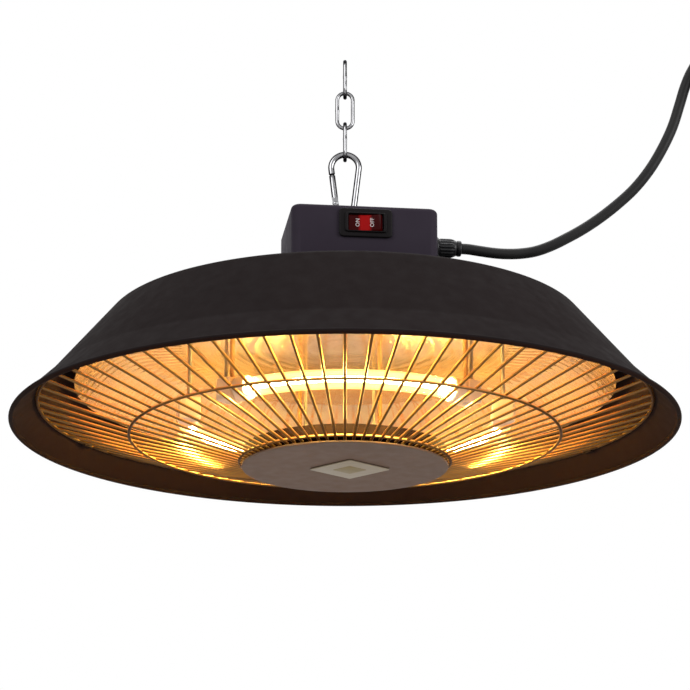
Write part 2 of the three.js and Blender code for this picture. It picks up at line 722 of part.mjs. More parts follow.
const switchHeight = boxTopHeight - switchDrop;
const boxFrontY = -boxDepth / 2;
const rockerAxisY = boxFrontY + rockerAxisDepth;
const frameFront = boxFrontY - seatGap - switchFrameThickness;
const switchCutWidth = switchBezelWidth + 2 * seatGap;
const switchCutHeight = switchBezelHeight + 2 * seatGap;
const switchBack = boxFrontY + switchBodyDepth;

// A plain block between two distances from the front, centred on the switch
const switchBlock = (width, height, from, to, x = 0) =>
  block(width, to - from, height, x, (from + to) / 2, switchHeight);

const rockerCave = switchBlock(rockerLength + 2 * seatGap, rockerWidth + 2 * seatGap,
  frameFront - switchBezelRise - cutOver, rockerAxisY + rockerRoom);
const terminals = [-1, 1].map((side) => block(terminalWidth, terminalLength, terminalSheet,
  (side * rockerLength) / 4, switchBack + terminalLength / 2 - seatGap, switchHeight));
addPiece('switch_housing', cut(join(
  switchBlock(switchFrameWidth, switchFrameHeight, frameFront, boxFrontY - seatGap),
  switchBlock(switchBezelWidth, switchBezelHeight, frameFront - switchBezelRise, switchBack),
  ...terminals,
), rockerCave), blackPlastic, boxGroup);

// The rocker's plan: round ends about its axis, a shallow V in front and a flat back
function rockerPlan() {
  const radius = rockerLength / 2;
  const turns = [-rockerBackTurn, (rockerFrontTurn - rockerBackTurn) / 2, rockerFrontTurn].map(radians);
  const right = turns.map((turn) => lateral(radius, turn));
  const left = right.map(([x, y]) => [-x, y]).reverse();
  const line = [...right, [0, rockerHollow], ...left];
  return new THREE.Shape(line.map(([x, y]) => new THREE.Vector2(x, -y)));
}

const rockerShape = slab(rockerPlan(), rockerWidth, -rockerWidth / 2);
const rocker = addPiece('switch_rocker', rockerShape, rockerRed, boxGroup);
rocker.position.set(0, rockerAxisY, switchHeight);
rocker.rotation.z = -radians(rockerTilt);

// Box, gasket and screws, cut for all that passes through them

function boxShell() {
  const outline = roundedRectangle(boxWidth - 2 * boxTopEdge, boxDepth - 2 * boxTopEdge,
    boxCorner - boxTopEdge, boxCornerSteps);
  const blank = new THREE.ExtrudeGeometry(outline, {
    depth: boxHeight, bevelThickness: boxTopEdge, bevelSize: boxTopEdge, bevelSegments: boxEdgeSteps,
  }).translate(0, 0, boxLow - boxTopEdge);
  const below = block(boxWidth + cutOver, boxDepth + cutOver, 2 * boxTopEdge + cutOver,
    0, 0, boxLow - (2 * boxTopEdge + cutOver) / 2);
  const inside = roundedRectangle(boxWidth - 2 * boxWall, boxDepth - 2 * boxWall,
    boxCorner - boxWall, boxCornerSteps);
  const cavity = slab(inside, boxHeight - boxWall + cutOver, boxLow - cutOver);
  const bossRods = bosses.map(([x, y]) => rod(bossRadius, boxLow, boxLow + bossHeight, x, y));
  const pilots = bosses.map(([x, y]) =>
    rod(screwRadius + seatGap, boxLow - cutOver, boxLow + screwReach + seatGap, x, y));
  const legHoles = eyeLegs.map(([, y]) =>
    inBox(rod(eyeRod / 2 + seatGap, boxTopHeight - boxWall - cutOver, boxTopHeight + cutOver, 0, y)));
  const switchCut = switchBlock(switchCutWidth, switchCutHeight, boxFrontY - cutOver,
    boxFrontY + boxWall + cutOver);
  const glandHole = onGlandAxis(rod(glandThreadRadius + seatGap, boxSideX - boxWall - cutOver,
    boxSideX + cutOver, 0, 0, glandSides));
  return cut(join(cut(blank, below, cavity), ...bossRods), ...pilots, ...legHoles, switchCut, glandHole);
}

addPiece('junction_box', boxShell(), boxPlastic, boxGroup);

const gasketOutline = roundedRectangle(boxWidth, boxDepth, boxCorner, boxCornerSteps);
const gasketInside = roundedRectangle(boxWidth - 2 * boxWall, boxDepth - 2 * boxWall,
  boxCorner - boxWall, boxCornerSteps);
gasketOutline.holes.push(new THREE.Path(gasketInside.getPoints()));
addPiece('box_gasket', slab(gasketOutline, gasketThickness, gasketLow), blackRubber, boxGroup);

bosses.forEach(([x, y], i) => {
  const headTop = deckUnderside - seatGap;
  const shank = rod(screwRadius, headTop - screwHeadHeight / 2, boxLow + screwReach, x, y, screwSides);
  const head = rod(screwHeadRadius, headTop - screwHeadHeight, headTop, x, y);
  addPiece(`box_screw_${i + 1}`, join(shank, head), zinc, boxGroup);
});

// Deck holes, and the shade that carries everything

const leadPassX = 24; // middle of the hole that the lamp leads rise through
const leadPassRadius = 9;
const leadPassSides = 20;

const throughDeck = (radius, x, y, sides = 12) =>
  rod(radius, deckUnderside - cutOver, deckHeight + cutOver, x, y, sides);
const shadeHoles = [
  ...studs.map(([x, y]) => throughDeck(studRadius + seatGap, x, y)),
  ...eyeLegs.map(([, y]) => throughDeck(eyeRod / 2 + seatGap, 0, y)),
  ...bosses.map(([x, y]) => {
    const place = fromBox(x, y, 0);
    return throughDeck(screwRadius + seatGap, place.x, place.y);
  }),
  throughDeck(leadPassRadius, leadPassX, 0, leadPassSides),
];
addPiece('shade', cut(shadeBlank, ...shadeHoles), blackCoat);

// Terminal block: stands on the deck on two feet over the lead hole

const terminalBlockWidth = 28;
const terminalBlockDepth = 20;
const terminalRiseShare = 0.2; // the block's underside, between the deck and the box's top
const terminalHeightShare = 0.2; // the block's height, of the same span
const terminalFootWidth = 3;

const terminalBlockLow = deckHeight + boxRise * terminalRiseShare;
const terminalBlockHeight = boxRise * terminalHeightShare;
const blockMiddle = new THREE.Vector3(leadPassX, 0, 0).applyMatrix4(intoBox);
const footLow = deckHeight + seatGap;
const footHeight = terminalBlockLow - footLow + terminalFootWidth;
const blockTop = terminalBlockLow + terminalBlockHeight;
const feet = [-1, 1].map((side) => block(terminalFootWidth, terminalBlockDepth, footHeight,
  blockMiddle.x + (side * (terminalBlockWidth - terminalFootWidth)) / 2, blockMiddle.y,
  footLow + footHeight / 2));
addPiece('terminal_block', join(
  block(terminalBlockWidth, terminalBlockDepth, terminalBlockHeight, blockMiddle.x, blockMiddle.y,
    terminalBlockLow + terminalBlockHeight / 2),
  ...feet,
), ceramic, boxGroup);

// Lamp leads: up from each cap, in over the reflector and up through the deck to the block

const leadRunBelowDeck = 9.3; // from the deck's top to the leads' level run
const leadBend = 6;
const leadBendShare = 0.3; // how much of a bend's corner is cut off
const leadCircle = 7.2; // radius of the ring of leads in the deck's hole
const leadSides = 5;

const leadRunHeight = deckHeight - leadRunBelowDeck;
capLeads.forEach(([x, y], i) => {
  const way = new THREE.Vector2(leadPassX - x, -y).normalize();
  const [endX, endY] = [leadPassX - way.x * leadCircle, -way.y * leadCircle];
  const corner = leadBend * leadBendShare;
  const line = [
    [x, y, lampHeight + capBlockSize / 2 + seatGap],
    [x, y, leadRunHeight - leadBend],
    [x + way.x * corner, y + way.y * corner, leadRunHeight - corner],
    [x + way.x * leadBend, y + way.y * leadBend, leadRunHeight],
    [endX - way.x * leadBend, endY - way.y * leadBend, leadRunHeight],
    [endX - way.x * corner, endY - way.y * corner, leadRunHeight + corner],
    [endX, endY, leadRunHeight + leadBend],
    [endX, endY, terminalBlockLow - seatGap],
  ].map((point) => new THREE.Vector3(...point));
  const level = new THREE.Vector3(-way.y, way.x, 0);
  const lamp = lamps[Math.floor(i / 2)].name;
  addPiece(`lamp_lead_${lamp}_${(i % 2) + 1}`,
    wireThrough(line, leadRadius, leadSides, level), leadSleeve);
});

// Wires inside the box. The cord's three cores start at the gland's inner end

const coreRadius = 1.3;
const coreSides = 6;
const coreSteps = 8;
const coreSpread = 3.2; // from the gland's axis to a core's middle
const coreBend = 7;
const earthPlaceShare = 0.54; // of the way from the terminal block to the box's wall

const coreStart = glandInnerX - seatGap;
const blockEndX = blockMiddle.x + terminalBlockWidth / 2;
const earthX = blockEndX + (boxSideX - boxWall - blockEndX) * earthPlaceShare;
const terminalBack = switchBack + terminalLength - seatGap;
const core = (line) => wire(smoothCurve(line), coreRadius, coreSides, coreSteps);
addPiece('live_core', core([
  [coreStart, -coreSpread, glandHeight],
  [coreStart - coreBend, -coreSpread, glandHeight],
  [coreStart - 3 * coreBend, terminalBack + coreBend, switchHeight],
  [rockerLength / 4, terminalBack + coreBend, switchHeight],
  [rockerLength / 4, terminalBack + seatGap, switchHeight],
]), liveSleeve, boxGroup);
addPiece('neutral_core', core([
  [coreStart, coreSpread, glandHeight],
  [coreStart - coreBend / 2, coreSpread, glandHeight],
  [blockMiddle.x + coreBend, coreSpread, glandHeight - coreBend],
  [blockMiddle.x + coreBend, coreSpread, blockTop + coreBend],
  [blockMiddle.x + coreBend, coreSpread, blockTop + seatGap],
]), neutralSleeve, boxGroup);
addPiece('earth_core', core([
  [coreStart, 0, glandHeight - coreSpread],
  [coreStart - coreBend / 2, 0, glandHeight - coreSpread],
  [earthX, coreBend, glandHeight - 3 * coreBend],
  [earthX, coreBend, deckHeight + coreBend],
  [earthX, coreBend, deckHeight + seatGap],
]), earthSleeve, boxGroup);
addPiece('switch_wire', core([
  [-rockerLength / 4, terminalBack + seatGap, switchHeight],
  [-rockerLength / 4, terminalBack + coreBend, switchHeight],
  [-coreSpread, blockMiddle.y, switchHeight - coreBend],
  [blockMiddle.x - coreBend, blockMiddle.y, blockTop + coreBend],
  [blockMiddle.x - coreBend, blockMiddle.y, blockTop + seatGap],
]), liveSleeve, boxGroup);

// Snap hook: a pear-shaped ring with a sprung gate on its left side

const hookWire = 4; // diameter
const hookTopRadius = 9; // of the wire's middle line
const hookBottomRadius = 5.5;
const hookLength = 47.8; // outside
const hookSides = 8;
const hookNoseRise = 29.5; // from the hook's seat to the gate's latched end, on the left side
const gateGap = 0.5;
const gatePinRise = 4.5; // the gate's pin above the bottom bend
const gatePinRadius = 0.6;
const gatePinSides = 8;
const gateTongue = 1.6; // thickness of the ring's end between the gate's cheeks
const gateTongueRise = 1.6; // how far the ring's end reaches past the pin
const gateHeel = 1.8; // how far the gate reaches below its pin
const gateShoulder = 3.3; // where the tongue begins, below the pin
const hookTopSteps = 10;
const hookBottomSteps = 8;

const eyeInnerTop = eyeTop - eyeRod;
const hookSeat = eyeInnerTop - seatGap - hookWire / 2; // middle of the hook's lowest wire
const hookBottom = hookSeat + hookBottomRadius;
const hookTop = hookSeat - hookWire / 2 + hookLength;
const hookTopCentre = hookTop - hookWire / 2 - hookTopRadius;
const hookLean = Math.asin((hookTopRadius - hookBottomRadius) / (hookTopCentre - hookBottom));
const hookSideAt = (height) => {
  const low = [hookBottomRadius * Math.cos(hookLean), hookBottom - hookBottomRadius * Math.sin(hookLean)];
  return low[0] + (height - low[1]) * Math.tan(hookLean);
};
const gatePinHeight = hookBottom + gatePinRise;
const gatePinX = -hookSideAt(gatePinHeight);
const across = new THREE.Vector3(0, 1, 0);
const upTheGate = new THREE.Vector3(-Math.sin(hookLean), 0, Math.cos(hookLean));
const gatePin = new THREE.Vector3(gatePinX, 0, gatePinHeight);
const gateAt = (distance) => gatePin.clone().addScaledVector(upTheGate, distance);
const gateLength = (hookSeat + hookNoseRise - gatePinHeight) / Math.cos(hookLean);

// Puts a shape that stands on the Z axis onto the gate's leaning line, with its foot on the pin
const ontoGate = (geometry) =>
  geometry.clone().rotateY(-hookLean).translate(gatePin.x, gatePin.y, gatePin.z);
const pinRod = (radius, width) => new THREE.CylinderGeometry(radius, radius, width, gatePinSides);

const hookLine = [
  gateAt(gateLength + gateGap),
  ...arcPoints('x', [0, hookTopCentre], hookTopRadius, Math.PI + hookLean, -hookLean, hookTopSteps),
  ...arcPoints('x', [0, hookBottom], hookBottomRadius, -hookLean, hookLean - Math.PI, hookBottomSteps),
  gateAt(gateTongueRise),
];
const cheekRoom = [-1, 1].map((side) => {
  const width = hookWire / 2;
  const shape = block(hookWire + 2 * cutOver, width, gateShoulder + gateTongueRise + cutOver, 0,
    side * (gateTongue / 2 + width / 2), (gateTongueRise + cutOver - gateShoulder) / 2);
  return ontoGate(shape);
});
const hookRing = cut(wireThrough(hookLine, hookWire / 2, hookSides, across), ...cheekRoom);
const hookPin = ontoGate(pinRod(gatePinRadius, hookWire - 2 * seatGap));
addPiece('snap_hook', join(hookRing, hookPin), chrome, object);

const slotRise = Math.hypot(gateTongueRise, hookWire / 2) + seatGap;
const gateRod = ontoGate(rod(hookWire / 2, -gateHeel, gateLength, 0, 0, hookSides));
const gateSlot = ontoGate(block(hookWire + cutOver, gateTongue + 2 * seatGap,
  slotRise + gateHeel + cutOver, 0, 0, (slotRise - gateHeel - cutOver) / 2));
const gateBore = ontoGate(pinRod(gatePinRadius + seatGap, hookWire + cutOver));
addPiece('snap_gate', cut(gateRod, gateSlot, gateBore), chrome, object);

// Chain: three welded links, each turned a quarter against the next

const linkLength = 27.2; // outside
const linkWidth = 12.7; // outside
const linkWire = 2.5; // diameter
const linkSides = 8;
const linkBendSteps = 6;

const linkRun = linkLength - linkWidth; // straight side
const linkRadius = (linkWidth - linkWire) / 2;
const linkPitch = linkLength - 2 * linkWire - seatGap;
const firstLinkBottom = hookTop - hookWire - seatGap - linkWire;

function chainLink(axis, bottom) {
  const [low, high] = [bottom + linkWidth / 2, bottom + linkWidth / 2 + linkRun];
  const line = [
    ...arcPoints(axis, [0, high], linkRadius, 0, Math.PI, linkBendSteps),
    ...arcPoints(axis, [0, low], linkRadius, Math.PI, 2 * Math.PI, linkBendSteps),
  ];
  const side = axis === 'x' ? across : new THREE.Vector3(1, 0, 0);
  return wireThrough(line, linkWire / 2, linkSides, side, true);
}

['y', 'x', 'y'].forEach((axis, i) =>
  addPiece(`chain_link_${i + 1}`, chainLink(axis, firstLinkBottom + i * linkPitch), zinc, object));
const hangHeight = firstLinkBottom + 2 * linkPitch + linkLength - linkWire;

// Power cord. It leaves the gland, rises to the right and is wound into a coil that hangs
// beside the heater, with the plug below. The free stretches follow points chosen by hand

const cordSides = 8;
const cordSteps = 19;
const tailSteps = 6;
const cordRoute = [ // from the gland's end: to the right, back and up
  [0, 0, 0], [4.3, 0.54, -0.1], [12.3, 1.45, -1.1], [20.3, 2.35, -2], [28.3, 3.15, -2.4],
  [38.3, 3.75, -2], [48.3, 3.75, -0.4], [58.3, 3.75, 3.2], [69.3, 3.75, 8.8], [80.3, 3.75, 15.2],
  [92.3, 3.75, 23.6], [104.3, 3.75, 33.5], [114.3, 3.75, 43.2], [124.3, 3.75, 55.9],
  [133.3, 3.75, 71], [140.3, 3.75, 85.9], [145.3, 3.75, 100.8], [149.1, 3.75, 112.9],
  [152.9, 3.75, 122.4], [157.9, 3.75, 131.6], [162.7, 3.75, 139.9],
];
const tailRoute = [ // from the coil's end, sideways and up
  [0, 0], [-4, -6.93], [-7.4, -14.2], [-9.6, -22.6], [-10.4, -32], [-10.4, -50], [-10.4, -86],
];
const coilTurns = 5.5;
const coilStartTurn = 150; // degrees, where on the ring the cord comes in, counted from +X
const coilPitch = 7.6; // between turns side by side and one on another
const coilSides = 6;
const coilStepsPerTurn = 24;
const climbTurns = 0.5; // the coil changes layer over this much of a turn

const cordRadius = cordDiameter / 2;
const cordStart = fromBox(glandEnd + seatGap, 0, glandHeight);
const cordPlaces = cordRoute.map((step) => new THREE.Vector3(...step).add(cordStart));
const leadCurve = smoothCurve(cordPlaces.map((place) => place.toArray()));
const tailCurve = smoothCurve(tailRoute.map(([x, z]) => [x, 0, z]));
const coilMiddleRadius = (cordLength - leadCurve.getLength() - tailCurve.getLength()
  - 2 * cordDiameter) / (2 * Math.PI * coilTurns);
const coilInnerRadius = coilMiddleRadius - (coilPitch * coilTurns) / 4;
const coilOuterRadius = coilMiddleRadius + (coilPitch * coilTurns) / 4;
addPiece('cord_lead', wire(leadCurve, cordRadius, cordSides, cordSteps), blackRubber);

const cordIn = cordPlaces[cordPlaces.length - 1];
const startAngle = radians(coilStartTurn);
const wayIn = new THREE.Vector3(Math.sin(startAngle), 0, -Math.cos(startAngle));
const coilStart = cordIn.clone().addScaledVector(wayIn, seatGap + cordDiameter);
const coilCentre = new THREE.Vector3(
  coilStart.x - coilOuterRadius * Math.cos(startAngle),
  coilStart.y,
  coilStart.z - coilOuterRadius * Math.sin(startAngle),
);

// A point of the coil after so many turns. The turns run clockwise, in to the innermost one,
// over into the front layer, and out again
function coilPoint(turn) {
  const pastMiddle = turn - coilTurns / 2;
  const radius = coilInnerRadius + coilPitch * Math.abs(pastMiddle);
  const climb = THREE.MathUtils.smoothstep(pastMiddle, -climbTurns / 2, climbTurns / 2);
  const [x, z] = lateral(radius, startAngle - 2 * Math.PI * turn);
  return new THREE.Vector3(coilCentre.x + x, coilCentre.y - coilPitch * climb, coilCentre.z + z);
}

const coilSteps = Math.round(coilTurns * coilStepsPerTurn);
const windings = Array.from({ length: coilSteps + 1 }, (_, i) => coilPoint((coilTurns * i) / coilSteps));
const endAngle = startAngle - 2 * Math.PI * coilTurns;
const wayOut = new THREE.Vector3(Math.sin(endAngle), 0, -Math.cos(endAngle));
const coilEnd = windings[coilSteps].clone().addScaledVector(wayOut, cordDiameter);
const coilLine = [cordIn.clone().addScaledVector(wayIn, seatGap), ...windings, coilEnd];
addPiece('cord_coil', wireThrough(coilLine, cordRadius, coilSides, across), blackRubber);

// The least clear distance from the coil to itself, on its corners' line and between them
function leastCoilGap() {
  const samples = windings.slice(1).flatMap((point, i) => [point, point.clone().lerp(windings[i], 0.5)]);
  const apart = coilStepsPerTurn;
  let least = Infinity;
  samples.forEach((point, i) => samples.slice(i + apart).forEach((other) => {
    least = Math.min(least, point.distanceTo(other));
  }));
  return least - cordDiameter;
}
console.log(`cord_coil least gap to itself ${leastCoilGap().toFixed(3)} mm`);

const tailStart = coilEnd.clone().addScaledVector(wayOut, seatGap);
addPiece('cord_tail', moved(wire(tailCurve, cordRadius, cordSides, tailSteps), ...tailStart), blackRubber);

// Coil tie: a strap round all the turns at the top of the coil, with an eyelet to hang it by

const tieSheet = 1.6;
const tieWidth = 12;
const eyeletRadius = 4;
const eyeletSides = 16;
const tieCornerSteps = 2;

const tieHalfDepth = coilPitch / 2 + cordRadius + seatGap;
const tieMiddleY = coilCentre.y - coilPitch / 2;
const tiedHeights = windings
  .filter((point) => point.z > coilCentre.z && Math.abs(point.x - coilCentre.x) < tieWidth)
  .map((point) => point.z);
const tieLow = Math.min(...tiedHeights) - cordRadius - seatGap;
const tieHigh = Math.max(...tiedHeights) + cordRadius + seatGap;

function tie() {
  const [middle, half] = [(tieLow + tieHigh) / 2, (tieHigh - tieLow) / 2];
  const outer = roundedRectangle(2 * (tieHalfDepth + tieSheet), 2 * (half + tieSheet), 2 * tieSheet,
    tieCornerSteps);
  outer.holes.push(new THREE.Path(
    roundedRectangle(2 * tieHalfDepth, 2 * half, tieSheet, tieCornerSteps).getPoints()));
  const strap = slab(outer, tieWidth, -tieWidth / 2).translate(0, middle, 0);
  const eyeletHeight = tieHigh + tieSheet + eyeletRadius;
  const ring = polygon(eyeletRadius + tieSheet, eyeletSides);
  ring.holes.push(new THREE.Path(polygon(eyeletRadius, eyeletSides).getPoints()));
  const eyelet = slab(ring, tieWidth, -tieWidth / 2).translate(0, eyeletHeight, 0);
  const upright = join(strap, eyelet).rotateX(Math.PI / 2).rotateZ(Math.PI / 2);
  return moved(upright, coilCentre.x, tieMiddleY, 0);
}
addPiece('coil_tie', tie(), blackRubber);

// Plug at the cord's end, pointing down: a moulded body and an insert that holds both pins

const plugReliefLength = 26;
const plugReliefRadius = 5.5;
const plugGripLength = 30;
const plugRadius = 18.5;
const plugNeckRadius = 9;
const plugFaceDepth = 6; // straight part behind the plug's face
const plugSides = 24;
const pinRadius = 2.4;
const pinLength = 19;
const pinSpacing = 19;
const pinInsertDepth = 8;
const pinInsertWidth = 8;
const pinSides = 10;

const [tailSide, tailRise] = tailRoute[tailRoute.length - 1];
const tailEnd = tailStart.clone().add(new THREE.Vector3(tailSide, 0, tailRise));
const plugTop = tailEnd.z - seatGap;
const plugFace = plugTop - plugReliefLength - plugGripLength;
const insertTop = plugFace + pinInsertDepth;
const insertWidth = pinSpacing + pinInsertWidth;
const plugSolid = turnedBody([
  [0, plugFace],
  [plugRadius, plugFace],
  [plugRadius, plugFace + plugFaceDepth],
  [plugNeckRadius, plugFace + plugGripLength],
  [plugReliefRadius, plugFace + plugGripLength],
  [cordRadius + seatGap, plugTop],
  [0, plugTop],
], plugSides);
const plugRecess = block(insertWidth + 2 * seatGap, pinInsertWidth + 2 * seatGap, pinInsertDepth + cutOver,
  0, 0, insertTop + seatGap - (pinInsertDepth + cutOver) / 2);
const plugPins = [-1, 1].map((side) =>
  rod(pinRadius, plugFace - pinLength, plugFace + pinInsertDepth / 2, (side * pinSpacing) / 2, 0, pinSides));
const insert = block(insertWidth, pinInsertWidth, pinInsertDepth, 0, 0, insertTop - pinInsertDepth / 2);
addPiece('plug_body', moved(cut(plugSolid, plugRecess), tailEnd.x, tailEnd.y), blackRubber);
addPiece('plug_insert', moved(join(insert, ...plugPins), tailEnd.x, tailEnd.y), brass);

object.children.forEach((child) => {
  child.position.z -= hangHeight;
});

export default object;
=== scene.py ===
import json
import math

import bmesh
import bpy
import numpy as np
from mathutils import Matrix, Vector

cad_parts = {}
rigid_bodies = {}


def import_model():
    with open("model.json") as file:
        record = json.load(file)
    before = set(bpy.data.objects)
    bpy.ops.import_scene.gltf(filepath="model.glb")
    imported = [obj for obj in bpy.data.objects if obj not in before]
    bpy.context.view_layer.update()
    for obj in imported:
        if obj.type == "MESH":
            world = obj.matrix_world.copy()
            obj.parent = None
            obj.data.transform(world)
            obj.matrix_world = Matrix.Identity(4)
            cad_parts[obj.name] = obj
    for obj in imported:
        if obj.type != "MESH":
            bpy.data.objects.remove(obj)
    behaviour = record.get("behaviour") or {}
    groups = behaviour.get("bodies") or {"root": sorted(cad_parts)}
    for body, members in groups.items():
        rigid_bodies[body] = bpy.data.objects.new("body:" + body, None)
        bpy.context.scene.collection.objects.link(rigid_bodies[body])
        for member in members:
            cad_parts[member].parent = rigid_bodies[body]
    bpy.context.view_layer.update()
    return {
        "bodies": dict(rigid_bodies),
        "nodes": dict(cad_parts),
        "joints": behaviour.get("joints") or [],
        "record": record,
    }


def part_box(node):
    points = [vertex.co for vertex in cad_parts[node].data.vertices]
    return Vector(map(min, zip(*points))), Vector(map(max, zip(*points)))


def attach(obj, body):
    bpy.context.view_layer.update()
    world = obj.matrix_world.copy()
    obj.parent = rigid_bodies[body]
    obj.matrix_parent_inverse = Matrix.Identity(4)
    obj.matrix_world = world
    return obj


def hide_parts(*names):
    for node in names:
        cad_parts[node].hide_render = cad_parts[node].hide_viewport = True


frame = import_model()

# A round hanging infrared heater: black shade, wire guard, three glowing quartz lamps, a switch
# box, a snap hook on a chain and a power cord. Sizes are in millimetres, and heights are counted
# from the plane of the shade's rim, which the frame gives.
mm = 0.001
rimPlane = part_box("shade")[0].z
print("frame loaded")


# Camera: the photograph's view from below, and the backdrop

photo = {
    "distance": 1800,        # from the middle of the rim's plane
    "below": 14.84,          # degrees under that plane
    "focal": 2834.7,         # in pixels of the photograph
    "side": 690,             # the photograph's width in pixels
    "rimRow": 429.6,         # the pixel row that shows the middle of the rim's plane
    "sensor": 36,            # millimetres
    "clip": (0.05, 50),      # nearest and farthest distance seen, in metres
}


def makeCamera(s):
    # In front of the rim's plane and under it. It looks along Y, turned up by the angle under the
    # plane and by the angle of the rim's row
    data = bpy.data.cameras.new("photo_camera")
    camera = bpy.data.objects.new("photo_camera", data)
    bpy.context.scene.collection.objects.link(camera)
    under = math.radians(s["below"])
    tilt = math.atan((s["rimRow"] - s["side"] / 2) / s["focal"])
    away = s["distance"] * mm
    camera.location = (0, -away * math.cos(under), rimPlane - away * math.sin(under))
    camera.rotation_euler = (math.pi / 2 + under + tilt, 0, 0)
    data.sensor_width = s["sensor"]
    data.lens = s["focal"] * s["sensor"] / s["side"]
    data.clip_start, data.clip_end = s["clip"]
    bpy.context.scene.camera = camera


makeCamera(photo)
bpy.context.scene.view_settings.view_transform = "Standard"
print("camera placed")


# Shapes. A piece is a list of (points, faces) shells in millimetres

def ringFaces(rows, sides, closeRows=False):
    # Square faces between neighbouring rows of one grid, closed round each row
    i = np.arange(rows if closeRows else rows - 1)[:, None]
    k = np.arange(sides)[None, :]
    nextRow, nextSide = (i + 1) % rows, (k + 1) % sides
    corners = [i * sides + k, i * sides + nextSide, nextRow * sides + nextSide, nextRow * sides + k]
    return np.stack(np.broadcast_arrays(*corners), axis=-1).reshape(-1, 4)


def loft(grid, closeRows=False):
    # A skin over rows of points (rows, sides, 3). Its first and last rows are filled, or joined
    grid = np.asarray(grid, float)
    rows, sides = grid.shape[:2]
    faces = ringFaces(rows, sides, closeRows).tolist()
    if not closeRows:
        faces += [list(range(sides))[::-1], list(range((rows - 1) * sides, rows * sides))]
    return [(grid.reshape(-1, 3), faces)]


def circle(radius, sides, start=0.0):
    # (radius cos a, radius sin a) for even angles a
    turn = start + 2 * np.pi * np.arange(sides) / sides
    return np.stack([radius * np.cos(turn), radius * np.sin(turn)], axis=1)


def lathe(profile, sides, closed=False):
    # Point (r, z) of the profile turned about Z: (r cos a, r sin a, z)
    profile = np.asarray(profile, float)
    turn = 2 * np.pi * np.arange(sides) / sides
    radius, height = profile[:, :1], profile[:, 1:]
    grid = np.stack([radius * np.cos(turn), radius * np.sin(turn), height + 0 * turn], axis=-1)
    return loft(grid, closeRows=closed)


def pathWays(path, closed):
    # Unit direction at each point of a path, from its neighbours before and after
    ahead = np.roll(path, -1, axis=0) - path
    behind = path - np.roll(path, 1, axis=0)
    unit = lambda v: v / np.maximum(np.linalg.norm(v, axis=1, keepdims=True), 1e-9)
    way = unit(unit(ahead) + unit(behind))
    if not closed:
        way[0], way[-1] = unit(ahead[:1])[0], unit(behind[-1:])[0]
    return way


def sweep(path, section, side, closed=False, scale=None):
    # Point (u, v) of the section at path point p: p + u across + v up, where across is the side
    # direction made square to the path and up is square to both. Scale stretches u and v
    path = np.asarray(path, float)
    way = pathWays(path, closed)
    across = np.broadcast_to(np.asarray(side, float), path.shape)
    across = across - np.sum(across * way, axis=1, keepdims=True) * way
    across = across / np.linalg.norm(across, axis=1, keepdims=True)
    up = np.cross(way, across)
    section = np.asarray(section, float)
    size = np.ones((len(path), 2)) if scale is None else np.asarray(scale, float)
    grid = (path[:, None] + across[:, None] * (size[:, None, :1] * section[None, :, :1])
            + up[:, None] * (size[:, None, 1:] * section[None, :, 1:]))
    return loft(grid, closeRows=closed)


def inset(outline, distance):
    # Moves each corner of a closed outline inwards, along its mitre, which a sharp corner doesn't
    # make endless
    leastMitre = 0.4
    ahead = np.roll(outline, -1, axis=0) - outline
    ahead /= np.maximum(np.linalg.norm(ahead, axis=1, keepdims=True), 1e-9)
    normal = np.stack([-ahead[:, 1], ahead[:, 0]], axis=1)
    both = normal + np.roll(normal, 1, axis=0)
    return outline + 2 * distance * both / np.maximum(np.sum(both ** 2, axis=1, keepdims=True), leastMitre)


def plate(outline, low, high, bevel=0.0, hole=None, steps=3):
    # A flat piece over a closed outline (counted anticlockwise) with round edges of size bevel.
    # With a hole, the skin goes down through it instead of being filled
    turn = np.linspace(0, np.pi / 2, steps + 1)
    drop, rise = bevel * (1 - np.sin(turn)), bevel * (1 - np.cos(turn))
    rows = [(inset(outline, d), low + r) for d, r in zip(drop, rise)]
    rows += [(inset(outline, d), high - r) for d, r in zip(drop[::-1], rise[::-1])]
    if hole is not None:
        rows += [(inset(hole, -d), high - r) for d, r in zip(drop, rise)]
        rows += [(inset(hole, -d), low + r) for d, r in zip(drop[::-1], rise[::-1])]
    grid = [np.column_stack([line, np.full(len(line), z)]) for line, z in rows]
    return loft(grid, closeRows=hole is not None)


def roundedLine(line, radii, steps=6):
    # Rounds the inner corners of an open line: each corner becomes the arc that touches both sides
    line = [np.asarray(p, float) for p in line]
    out = [line[0]]
    for before, corner, after, radius in zip(line, line[1:], line[2:], radii):
        a = (before - corner) / np.linalg.norm(before - corner)
        b = (after - corner) / np.linalg.norm(after - corner)
        half = math.acos(np.clip(np.dot(a, b), -1, 1)) / 2
        centre = corner + (a + b) / np.linalg.norm(a + b) * radius / math.sin(half)
        start = corner + a * radius / math.tan(half) - centre
        end = corner + b * radius / math.tan(half) - centre
        share = np.linspace(0, 1, steps + 1)[:, None]
        sweepAngle = math.pi - 2 * half
        spoke = np.sin((1 - share) * sweepAngle) * start + np.sin(share * sweepAngle) * end
        out += list(centre + spoke / math.sin(sweepAngle))
    return np.array(out + [line[-1]])


def roundedRectangle(width, depth, corner, steps=6):
    # Four quarter circles about the corners' centres, joined by straight sides
    turn = np.linspace(0, np.pi / 2, steps + 1)
    quarters = []
    for i, (sx, sy) in enumerate([(1, 1), (-1, 1), (-1, -1), (1, -1)]):
        x, y = sx * (width / 2 - corner), sy * (depth / 2 - corner)
        angle = turn + i * np.pi / 2
        quarters.append(np.stack([x + corner * np.cos(angle), y + corner * np.sin(angle)], axis=1))
    return np.concatenate(quarters)


